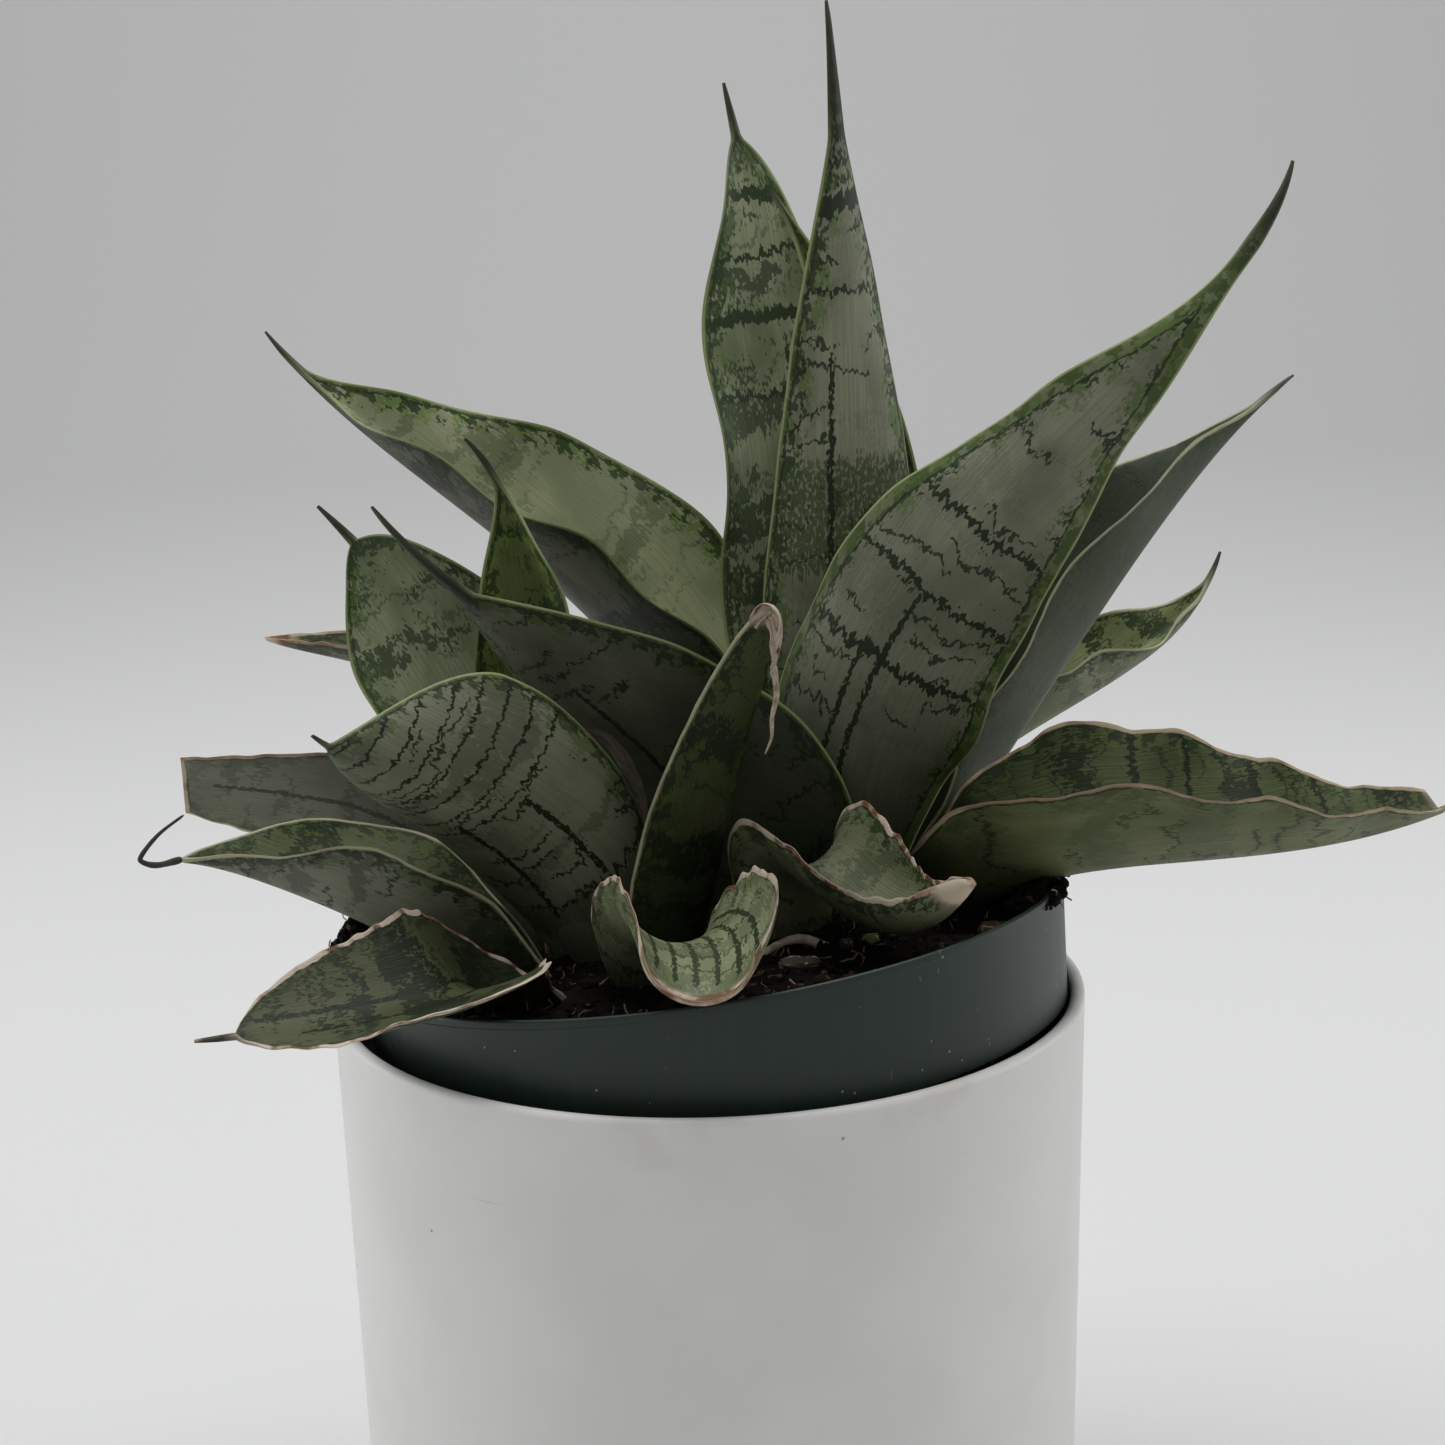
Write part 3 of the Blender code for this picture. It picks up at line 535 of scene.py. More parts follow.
def blade_finish(name, dress, seed, paper, awn):
    """Mottled leaf: clouded ground, zigzag bands, dotted lines, flecked margins and a pale edge line."""
    board = shader_board(name)
    across, along, edge = board.split(board.attribute("blade"))
    upper, tipward, dried = board.split(board.attribute("zones"))
    reach = board.attribute("reach", "Fac")
    run = along + upper * 61 + 37 * seed

    def grain(rate_across, rate_along, layer, detail=2.0):
        """Noise stretched over the leaf, its rates to the mm."""
        place = board.vector(across * rate_across, run * rate_along, seed + layer * 3.1)
        return board.noise(place, 1, detail)

    def sided(kind):
        """A colour or a strength that differs between the two faces."""
        over, under = getattr(dress.upper, kind), getattr(dress.under, kind)
        if isinstance(over, tuple):
            # each face's colours are scaled by its tone: partly the leaf's own brightness, partly painted
            # light and shade
            return board.mix(toned(under, dress.tone[1]), toned(over, dress.tone[0]), upper)
        return under + (over - under) * upper

    def face_mask(face):
        return upper if face else 1 - upper

    def window(place, start, stop, fade_in, fade_out):
        """1 from `start` to `stop`, faded inside both."""
        return board.step(place, start, start + fade_in) * board.step(place, stop, stop - fade_out)

    sway = grain(0.10, 0.07, 0) - 0.5
    jag = grain(0.8, 0.3, 1) - 0.5
    dash = grain(1.7, 0.8, 2)

    def dashed(mask):
        """A soft mask broken up into crisp dashes where it is neither 0 nor 1."""
        return board.step(mask + (dash - 0.5) * 1.5, 0.44, 0.56)

    stria = grain(2.6, 0.05, 3)
    cloud = grain(0.09, 0.05, 4, 3)
    patches = grain(0.33, 0.24, 5, 3)
    crossing = run + sway * 16 + jag * 6
    field = board.noise(board.vector(across * 0.012, crossing * 0.085, seed), 1, 1)
    bands = dashed(board.step(field, 0.44, 0.60) * (0.5 + 0.5 * board.step(patches, 0.36, 0.58)))
    turn = crossing / 5.5
    order = board.math("FLOOR", turn)
    shown = board.noise(board.vector(across * 0.06, order * 7.7, seed), 1, 0)
    lines = dashed(board.step(abs(turn - order - 0.5), 0.22, 0.02) * board.step(shown, 0.46, 0.58) * 0.72)
    flecks = dashed(board.step(patches, 0.40, 0.62) * (0.12 + 0.88 * board.step(edge, 10.0, 0.5)))
    fringe = dashed(board.step(grain(0.45, 0.3, 8, 3), 0.38, 0.62) * board.step(edge, 8.0, 0.6))

    dark, moss, ground = sided("dark"), sided("moss"), sided("cloud")
    shade = board.mix(sided("pale"), ground, board.step(cloud, 0.38, 0.66))
    shade = board.mix(shade, ground, board.step(stria, 0.42, 0.62) * 0.45)
    shade = board.mix(shade, dark, bands * sided("bands"))
    shade = board.mix(shade, moss, flecks * sided("flecks") * 0.8)
    shade = board.mix(shade, dark, fringe * sided("flecks") * 0.9)
    shade = board.mix(shade, dark, lines * sided("lines"))
    for face, start, stop in dress.mottles:
        patch = window(reach + jag * 0.03 + (stria - 0.5) * 0.06, start, stop, 0.012, 0.012)
        shade = board.mix(shade, board.mix(dark, moss, 0.3), dashed(patch * 0.62) * face_mask(face) * 0.75)
    for face, middle, half in dress.zigzags:
        wander = abs(reach - middle + jag * 0.035 + sway * 0.03)
        mark = dashed(board.step(wander, half + 0.007, half - 0.003) * 0.85)
        shade = board.mix(shade, dark, mark * face_mask(face))
    for face, offset, start, stop in dress.streaks:
        wander = abs(across - offset + sway * 1.5 + jag * 0.7)
        mark = dashed(board.step(wander, 1.4, 0.1) * window(reach, start, stop, 0.03, 0.04) * 0.75)
        shade = board.mix(shade, dark, mark * face_mask(face))
    # painted shade: darker towards the foot, standing for the shadow low in the crown
    shade = board.mix(shade, dark, board.step(reach, dress.deep, 0.04) * 0.88)
    # the margin: a green stripe, a dotted line inside it, and a thin pale edge, dried to paper on old leaves
    margin = dress.margin
    ragged = edge + jag * 1.6
    stripe = board.step(ragged, margin.width + 0.4, margin.width - 0.4)
    shade = board.mix(shade, margin.stripe, stripe * (0.2 + 0.6 * patches))
    shade = board.mix(shade, dark, dashed(board.step(abs(ragged - margin.width), 0.6, 0.1) * 0.7) * 0.85)
    drying = grain(0.15, 0.16, 7, 3)
    lip = 0.45 + margin.dried * 0.6
    edge_line = board.step(edge + (drying - 0.5) * margin.dried * 2.5, lip + 0.2, lip - 0.1)
    worn = board.mix(margin.line, (0.17, 0.075, 0.035), board.step(drying, 0.46, 0.6) * margin.dried)
    shade = board.mix(shade, worn, edge_line)
    shade = board.mix(shade, awn, tipward * 0.9)
    parched = board.mix(paper, (0.2, 0.1, 0.05), board.step(drying, 0.42, 0.62))
    shade = board.mix(shade, parched, dried)
    relief = stria * 0.5 + cloud * 0.8 + dash * 0.25 - lines * 0.3 - bands * 0.2
    roughness = 0.44 + 0.14 * cloud + 0.1 * stria + 0.3 * dried
    return board.surface(shade, roughness, relief, 0.0005, 0.45, specular=0.3)


# ---------------------------------------------------------------- shapes


def lean():
    """The matrix from the nursery pot's own frame, origin at the rim's centre, to the plant's."""
    up = Vector((-math.tan(LEAN_RIGHT), math.tan(LEAN_FRONT), 1)).normalized()
    return Matrix.Translation(RIM_CENTRE) @ Vector((0, 0, 1)).rotation_difference(up).to_matrix().to_4x4()


def rim_plane_height(x, y):
    rise_right = math.tan(LEAN_RIGHT) * (x - RIM_CENTRE.x)
    return RIM_CENTRE.z + rise_right - math.tan(LEAN_FRONT) * (y - RIM_CENTRE.y)


def face_outwards(mesh):
    shape = bmesh.new()
    shape.from_mesh(mesh)
    bmesh.ops.recalc_face_normals(shape, faces=shape.faces)
    if shape.calc_volume(signed=True) < 0:
        bmesh.ops.reverse_faces(shape, faces=shape.faces)
    shape.to_mesh(mesh)
    shape.free()


def linked(name, data):
    """A new object in the scene."""
    made = bpy.data.objects.new(name, data)
    bpy.context.collection.objects.link(made)
    return made


def new_mesh(name, points, faces, edges=()):
    mesh = bpy.data.meshes.new(name)
    mesh.from_pydata(points, edges, faces)
    return mesh


def with_modifiers(obj):
    """The mesh that an object's modifiers make; they are then taken off it."""
    graph = bpy.context.evaluated_depsgraph_get()
    made = bpy.data.meshes.new_from_object(obj.evaluated_get(graph), depsgraph=graph)
    obj.modifiers.clear()
    return made


def add_piece(name, mesh, material, slot, replaces=(), sharp=None):
    """A finished piece that rides on the plant's one body."""
    if not mesh.polygons:
        raise RuntimeError(f"{name} has no faces")
    mesh.name = name
    mesh.materials.clear()
    mesh.materials.append(material)
    if sharp:
        mesh.shade_smooth()
        mesh.set_sharp_from_angle(angle=math.radians(sharp))
    for node in replaces:
        # the CAD node gives its name to the piece that stands for it
        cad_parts[node].name = node + "_solid"
    piece = linked(name, mesh)
    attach(piece, "root")
    if replaces:
        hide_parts(*replaces)
    return piece


def geometry_tree(name, inputs):
    """A geometry tree with named inputs, its board, and the wire of each input."""
    tree = bpy.data.node_groups.new(name, "GeometryNodeTree")
    for label, kind in (("Geometry", "Geometry"), *inputs):
        tree.interface.new_socket(label, in_out="INPUT", socket_type="NodeSocket" + kind)
    tree.interface.new_socket("Geometry", in_out="OUTPUT", socket_type="NodeSocketGeometry")
    board = Board(tree)
    start = tree.nodes.new("NodeGroupInput")
    return tree, board, {socket.name: Wire(board, socket) for socket in start.outputs if socket.name}


def grown(tree, mesh, values):
    """The plain mesh that a geometry tree makes from a mesh."""
    holder = linked("holder", mesh)
    modifier = holder.modifiers.new("grow", "NODES")
    modifier.node_group = tree
    for item in tree.interface.items_tree:
        if item.item_type == "SOCKET" and item.in_out == "INPUT" and item.name in values:
            modifier[item.identifier] = values[item.name]
    result = with_modifiers(holder)
    bpy.data.objects.remove(holder)
    return result


def turning_tree():
    """Turns a profile of edges in the XZ plane round Z, after rounding each corner by its own radius."""
    tree, board, given = geometry_tree("turning", (("Steps", "Int"), ("Corner Steps", "Int")))
    outline = board.geo("MeshToCurve", {0: given["Geometry"]})
    radius = board.geo("InputNamedAttribute", {"Name": "round"}, data_type="FLOAT")
    corners = {"Curve": outline, "Count": given["Corner Steps"], "Radius": radius, "Limit Radius": True}
    profile = board.geo("CurveToMesh", {"Curve": board.geo("FilletCurve", corners, mode="POLY")})
    size = board.geo("AttributeDomainSize", {0: profile})
    grid = board.geo("MeshGrid", {"Vertices X": given["Steps"] + 1, "Vertices Y": size})
    index = board.geo("InputIndex")
    column = board.math("FLOOR", (index + 0.5) / size)
    wanted = {"Geometry": profile, "Value": board.geo("InputPosition"), "Index": index - column * size}
    r, _, z = board.split(board.geo("SampleIndex", wanted, data_type="FLOAT_VECTOR", domain="POINT"))
    angle = column * (2 * math.pi) / given["Steps"]
    around = board.vector(r * board.math("COSINE", angle), r * board.math("SINE", angle), z)
    turned = board.geo("SetPosition", {"Geometry": grid, "Position": around})
    closed = board.geo("MergeByDistance", {"Geometry": turned, "Distance": 0.000002})
    board.node("NodeGroupOutput", {0: closed})
    return tree


def turned_mesh(corners, steps, corner_steps):
    """A closed body turned from (r, z, rounding) corners."""
    edges = [(i, i + 1) for i in range(len(corners) - 1)]
    mesh = new_mesh("profile", [(r, 0, z) for r, z, _ in corners], [], edges)
    mesh.attributes.new("round", "FLOAT", "POINT").data.foreach_set("value", [c[2] for c in corners])
    return grown(turning_tree(), mesh, {"Steps": steps, "Corner Steps": corner_steps})


def scatter_tree(shapes):
    """Strews lumps or fibres over a surface, each turned and sized by chance."""
    inputs = (("Density", "Float"), ("Smallest", "Float"), ("Largest", "Float"), ("Seed", "Int"))
    tree, board, given = geometry_tree("strewn", inputs)
    ground = {"Mesh": given["Geometry"], "Density": given["Density"], "Seed": given["Seed"]}
    spots = board.geo("DistributePointsOnFaces", ground)
    choice = board.geo("GeometryToInstance")
    for shape in shapes(board):
        board.tree.links.new(shape.socket, choice.socket.node.inputs[0])
    chance = "FunctionNodeRandomValue"
    turns = {0: (0, 0, 0), 1: (6.283, 6.283, 6.283), "Seed": given["Seed"]}
    turn = board.node(chance, turns, data_type="FLOAT_VECTOR")
    size = board.node(chance, {"Seed": given["Seed"] + 3}, 1, data_type="FLOAT")
    size = given["Smallest"] + (given["Largest"] - given["Smallest"]) * size**2.2
    copies = {"Points": spots, "Instance": choice, "Pick Instance": True, "Rotation": turn}
    strewn = board.geo("InstanceOnPoints", {**copies, "Scale": board.vector(size, size, size)})
    board.node("NodeGroupOutput", {0: board.geo("RealizeInstances", {0: strewn})})
    return tree


def crumb_shapes(board):
    """Three knobbly lumps of unit size."""
    position = board.geo("InputPosition")
    for kind in range(3):
        ball = board.geo("MeshIcoSphere", {"Radius": 0.5, "Subdivisions": 2})
        bulge = board.noise(board.vectors("ADD", position, (7.3 * kind, 2.1, 5.0)), 2.4)
        squeezed = board.vectors("MULTIPLY", position, (1, 0.8, 0.6 + 0.1 * kind))
        swollen = {0: squeezed, "Scale": 0.1 + 1.8 * bulge}
        moved = board.node("ShaderNodeVectorMath", swollen, operation="SCALE")
        yield board.geo("SetPosition", {"Geometry": ball, "Position": moved})


def fibre_shapes(board):
    """Three bent hairs of unit length."""
    position = board.geo("InputPosition")
    section = board.geo("CurvePrimitiveCircle", {"Resolution": 4, "Radius": 0.022})
    for kind in range(3):
        line = board.geo("CurvePrimitiveLine", {"Start": (-0.5, 0, 0), "End": (0.5, 0, 0.06)})
        line = board.geo("ResampleCurve", {"Curve": line, "Count": 9})
        bend = board.noise(board.vectors("ADD", position, (3.7 * kind, 0, 0)), 2.2, output="Color")
        bend = board.vectors("MULTIPLY", board.vectors("SUBTRACT", bend, (0.5, 0.5, 0.5)), (0.3, 1.0, 0.5))
        line = board.geo("SetPosition", {"Geometry": line, "Offset": bend})
        yield board.geo("CurveToMesh", {"Curve": line, "Profile Curve": section, "Fill Caps": True})


def circle(radius, steps):
    """Points round a circle, as x and y."""
    angles_round = [2 * math.pi * step / steps for step in range(steps)]
    return [(radius * math.cos(angle), radius * math.sin(angle)) for angle in angles_round]


def soil_relief(x, y):
    """Height of the soil above its mean level: its heaps and a slight ripple."""
    heaps = sum(
        height * MM * math.exp(-((x - across * MM) ** 2 + (y - back * MM) ** 2) / (spread * MM) ** 2)
        for across, back, spread, height in SOIL_HEAPS
    )
    ripple = math.sin(190 * x + 1.3) * math.sin(230 * y + 0.4) + 0.5 * math.sin(520 * x - 410 * y)
    return heaps + 0.6 * MM * ripple


def soil_mesh(pots):
    """The closed body of soil, its top broken up by lumps, and that top alone for strewing on."""
    top_radius = pots.nursery_radius - SOIL_DROP * BAND_SLOPE - pots.nursery_wall - 0.4 * MM
    rings, steps = 84, 240
    floor = -pots.nursery_height + 2.4 * MM
    points = [(0, 0, -SOIL_DROP + soil_relief(0, 0))]
    for ring in range(1, rings + 1):
        for x, y in circle(top_radius * ring / rings, steps):
            lump = noise.fractal(Vector((x, y, 0)) * 160, 0.8, 2.2, 4) * 1.1 * MM
            points.append((x, y, -SOIL_DROP + soil_relief(x, y) + lump))
    surface = len(points)
    for radius, level in (
        (top_radius - 3 * MM, -pots.band_depth + 2 * MM),
        (pots.base_radius - 2 * MM, floor),
    ):
        points += [(x, y, level) for x, y in circle(radius, steps)]
    points.append((0, 0, floor))
    faces = [(0, 1 + s, 1 + (s + 1) % steps) for s in range(steps)]
    for ring in range(rings + 1):
        a, b = 1 + ring * steps, 1 + (ring + 1) * steps
        faces += [(a + s, b + s, b + (s + 1) % steps, a + (s + 1) % steps) for s in range(steps)]
    last = 1 + (rings + 1) * steps
    faces += [(last + s, len(points) - 1, last + (s + 1) % steps) for s in range(steps)]
    body = new_mesh("soil", points, faces)
    top = new_mesh("soil_top", points[:surface], [f for f in faces if max(f) < surface])
    for mesh in (body, top):
        mesh.transform(lean())
    face_outwards(body)
    return body, top


def rim_mounds():
    """Strips of surface over the rim where soil has spilt."""
    points, faces = [], []
    for middle, spread, height, reach in SPILLS:
        base = len(points)
        for step in range(13):
            part = step / 12
            angle = math.radians(middle - spread + 2 * spread * part)
            swell = height * MM * math.sin(math.pi * part)
            for radius, lift in ((66, 0.1), (70, 0.8), (74 + reach / 2, 1.0), (76 + reach, 0.5)):
                radius *= MM
                points.append((radius * math.cos(angle), radius * math.sin(angle), -2 * MM + swell * lift))
            if step:
                a = base + 4 * step
                faces += [(a + k - 4, a + k, a + k + 1, a + k - 3) for k in range(3)]
    strips = new_mesh("rim_mounds", points, faces)
    strips.transform(lean())
    return strips


def unit(vectors):
    return vectors / np.linalg.norm(vectors, axis=-1, keepdims=True)


def between(value, low=0, high=1):
    return np.clip(value, low, high)


def leaf_foot(leaf):
    if len(leaf.foot) == 3:
        return np.array(leaf.foot) * MM
    x, y = leaf.foot[0] * MM, leaf.foot[1] * MM
    return np.array((x, y, rim_plane_height(x, y) - SOIL_DROP - FOOT_DEPTH))


def leaf_frames(leaf, along):
    """Points, upper-face and side directions at parts `along` of the spine, and its length."""
    guides = [leaf_foot(leaf)] + [np.array(p) * MM for p in (leaf.rise, leaf.bow, leaf.tip)]
    t = np.linspace(0, 1, 201)[:, None]
    weights = ((1 - t) ** 3, 3 * (1 - t) ** 2 * t, 3 * (1 - t) * t**2, t**3)
    curve = sum(w * g for w, g in zip(weights, guides))
    run = np.concatenate([[0], np.cumsum(np.linalg.norm(np.diff(curve, axis=0), axis=1))])
    forward = unit(np.gradient(curve, axis=0))
    facing = math.radians(leaf.facing)
    upper = np.array((math.cos(facing), math.sin(facing), 0))
    uppers = []
    for direction in forward:
        upper = unit(upper - direction * (upper @ direction))
        uppers.append(upper)
    at = np.asarray(along) * run[-1]

    def sampled(rows):
        return np.stack([np.interp(at, run, column) for column in np.array(rows).T], axis=1)

    centre, forward, upper = sampled(curve), unit(sampled(forward)), sampled(uppers)
    upper = unit(upper - forward * (upper * forward).sum(axis=1, keepdims=True))
    side = np.cross(forward, upper)
    turn = (math.radians(leaf.twist) * along**2 * (3 - 2 * along))[:, None]
    upper = upper * np.cos(turn) + side * np.sin(turn)
    return centre, upper, np.cross(forward, upper), run[-1]


def leaf_half_width(leaf, along, length):
    """Half the width measured round the leaf: it swells to its widest place, then narrows to the awn."""
    blade_end = 1 - leaf.awn * MM / length
    part = between(along / blade_end)
    swell = leaf.base + (1 - leaf.base) * np.sin(math.pi / 2 * between(part / leaf.widest))
    fall = between((part - leaf.widest) / (1 - leaf.widest))
    narrow = leaf.end + (1 - leaf.end) * (1 - fall**1.7) ** leaf.taper
    blade = leaf.width * MM / 2 * np.where(part < leaf.widest, swell, narrow) * (along <= blade_end)
    needle = TIP_RADIUS + AWN_SLOPE * np.minimum((1 - along) * length, max(leaf.awn, 8) * MM)
    return np.hypot(blade, needle), blade_end


def uneven(seed, along, rate):
    """A smooth random run of values from about -1 to 1, one for each part `along` a leaf."""
    return np.array([noise.noise(Vector((seed * 7.31 + a * rate, seed, 0.5))) * 1.6 for a in along])


def leaf_mesh(leaf, seed, rows, columns, thickness, dried_edge, dried_from):
    """A closed leaf with rounded margins, and its coordinates as attributes for its finish."""
    along = np.linspace(0, 1, rows)
    across = np.sin(np.linspace(-math.pi / 2, math.pi / 2, columns))
    outward = np.abs(across)
    centre, upper, side, length = leaf_frames(leaf, along)
    half, blade_end = leaf_half_width(leaf, along, length)
    steps = np.linspace(0, 1, 41)
    fold, cup = (np.radians(turn[0] + (turn[1] - turn[0]) * along)[:, None] for turn in (leaf.fold, leaf.cup))
    slope = fold * between(steps / FOLD_WIDTH) + cup * steps

    def summed(values):
        inner = np.cumsum((values[:, 1:] + values[:, :-1]) / 2 / (len(steps) - 1), axis=1)
        return np.concatenate([np.zeros((len(along), 1)), inner], axis=1)

    def at_columns(table):
        return np.stack([np.interp(outward, steps, row) for row in table])

    def by_side(left, right):
        """Values along the left and right margins, laid out over the columns of each half."""
        return np.where(across[None] < 0, left[:, None], right[:, None])

    # each margin runs a little unevenly, and a dried one is crinkled
    blade = between(half / (6 * MM))
    wander = by_side(*(uneven(seed + k, along, length * 60) * MARGIN_WANDER for k in (1, 2)))
    crinkled = dried_edge * CRINKLE * blade
    crinkle = by_side(*(uneven(seed + k, along, length * 260) * crinkled for k in (3, 4)))
    ragged = 1 + wander * blade[:, None] * outward
    out = at_columns(summed(np.cos(slope))) * np.sign(across) * half[:, None] * ragged
    lift = at_columns(summed(np.sin(slope))) * half[:, None]
    tilt = at_columns(slope) * np.sign(across)
    phase = 2 * math.pi * leaf.waves * along[:, None]
    free = between(half / (10 * MM)) * between(4 * along)
    ripple = leaf.wave * MM * across**3 * free[:, None]
    lift = lift + ripple * np.sin(phase)
    out = out + 0.7 * ripple * np.cos(phase + across)
    lift = lift + crinkle * outward**4
    points = centre[:, None] + side[:, None] * out[..., None] + upper[:, None] * lift[..., None]
    faces_up = upper[:, None] * np.cos(tilt)[..., None] - side[:, None] * np.sin(tilt)[..., None]
    thin_out = (1 - 0.6 * across**2)[None] * between(1.15 - 0.6 * along, 0.4, 1.1)[:, None]
    thick = np.minimum(thickness * thin_out, (half * 1.6)[:, None])
    rounding = np.sqrt(between(1 - outward**14))[None]
    offset = faces_up * (thick * rounding / 2)[..., None]
    inner = slice(1, -1)
    rings = np.concatenate([points + offset, (points - offset)[:, inner][:, ::-1]], axis=1)
    around = rings.shape[1]
    ids = np.arange(rows * around).reshape(rows, around)
    after = np.roll(ids, -1, axis=1)
    quads = np.stack([ids[:-1], after[:-1], after[1:], ids[1:]], axis=-1).reshape(-1, 4)
    ends = [ids[0].tolist(), ids[-1][::-1].tolist()]
    mesh = new_mesh(leaf.name, rings.reshape(-1, 3), quads.tolist() + ends)
    face_outwards(mesh)

    reached = np.repeat(along, around)
    row_half = np.repeat(half, around)
    turn = np.tile(np.concatenate([across, across[inner][::-1]]), rows)
    edge = row_half * (1 - np.abs(turn)) / MM
    if leaf.end > 0.3:
        edge = np.minimum(edge, (1 - reached) * length / MM)
    over = np.tile(np.concatenate([np.ones(columns), np.zeros(columns - 2)]), rows)
    tipward = between((reached - blade_end + 0.05) / 0.08) * (leaf.awn > 0)
    dried = between((reached - dried_from) / 0.03)
    for label, values in (
        ("blade", (turn * row_half / MM, reached * length / MM, edge)),
        ("zones", (over, tipward, dried)),
    ):
        attribute = mesh.attributes.new(label, "FLOAT_VECTOR", "POINT")
        attribute.data.foreach_set("vector", np.stack(values, axis=1).astype(np.float32).ravel())
    mesh.attributes.new("reach", "FLOAT", "POINT").data.foreach_set("value", reached.astype(np.float32))
    return mesh


def path_through(points, total):
    """Points of a smooth curve through the given ones."""
    known = [np.array(p, float) for p in points]
    known = [2 * known[0] - known[1], *known, 2 * known[-1] - known[-2]]
    made = []
    for place in np.linspace(0, len(points) - 1 - 1e-9, total):
        i, t = int(place), place % 1
        a, b, c, d = known[i : i + 4]
        bend = (2 * a - 5 * b + 4 * c - d) * t**2 + (3 * b - a - 3 * c + d) * t**3
        made.append(0.5 * (2 * b + (c - a) * t + bend))
    return np.array(made) * MM


def strand_mesh(strand, rows=60, sides=12):
    """A thin round strand with slight knots, closed at both ends."""
    centres = path_through(strand.points, rows)
    forward = unit(np.gradient(centres, axis=0))
    side = unit(np.cross(forward, (0.21, 0.93, 0.3)))
    upper = np.cross(side, forward)
    first, last = strand.radii
    points = []
    for row in range(rows):
        part = row / (rows - 1)
        knot = 1 + 0.18 * noise.noise(Vector((part * 9, first, 0)))
        ending = math.sqrt(max(0.02, 1 - abs(2 * part - 1) ** 40))
        ring = circle((first + (last - first) * part) * MM * knot * ending, sides)
        points += [centres[row] + x * side[row] + y * upper[row] for x, y in ring]
    faces = [tuple(range(sides)), tuple(range((rows - 1) * sides, rows * sides))]
    for row in range(rows - 1):
        for i in range(sides):
            a, b = row * sides + i, row * sides + (i + 1) % sides
            faces.append((a, b, b + sides, a + sides))
    mesh = new_mesh(strand.name, points, faces)
    face_outwards(mesh)
    return mesh


def chip_mesh(node, seed):
    """A splintered chip that fills the box of its CAD node."""
    low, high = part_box(node)
    middle, half = (low + high) / 2, (high - low) / 2
    shape = bmesh.new()
    bmesh.ops.create_icosphere(shape, subdivisions=4, radius=1)
    for vertex in shape.verts:
        across = Vector(vertex.co)
        blocky = across / max(abs(c) for c in across) ** 0.55
        layers = 0.10 * noise.noise(Vector((across.x * 1.5, across.y * 4, across.z * 9 + seed)))
        rough = 0.14 * noise.fractal(across * 2.2 + Vector((seed, 0, 0)), 0.9, 2.1, 4)
        vertex.co = middle + blocky * (0.84 + layers + rough) * half
    mesh = bpy.data.meshes.new(node)
    shape.to_mesh(mesh)
    shape.free()
    return mesh


# ---------------------------------------------------------------- operators


class SNAKE_OT_cover_pot(bpy.types.Operator):
    """Turn the white ceramic cover pot"""

    bl_idname = "snake.cover_pot"
    bl_label = "Cover Pot"

    def execute(self, context):
        pots = context.scene.snake_pots
        foot = pots.cover_radius - pots.cover_height * math.tan(pots.cover_taper)
        lip = pots.cover_wall * 0.49
        corners = (
            (0, pots.cover_floor, 0),
            (foot - pots.cover_wall, pots.cover_floor, 4 * MM),
            (pots.cover_radius - pots.cover_wall, pots.cover_height, lip),
            (pots.cover_radius, pots.cover_height, lip),
            (foot, 0, 2 * MM),
            (foot - 9 * MM, 0, 0.6 * MM),
            (foot - 10 * MM, 0.8 * MM, 0.6 * MM),
            (0, 0.8 * MM, 0),
        )
        mesh = turned_mesh(corners, pots.steps, 8)
        face_outwards(mesh)
        add_piece("cover_pot", mesh, ceramic_finish(pots.ceramic), "cover_ceramic", ["cover_pot"], sharp=40)
        return {"FINISHED"}


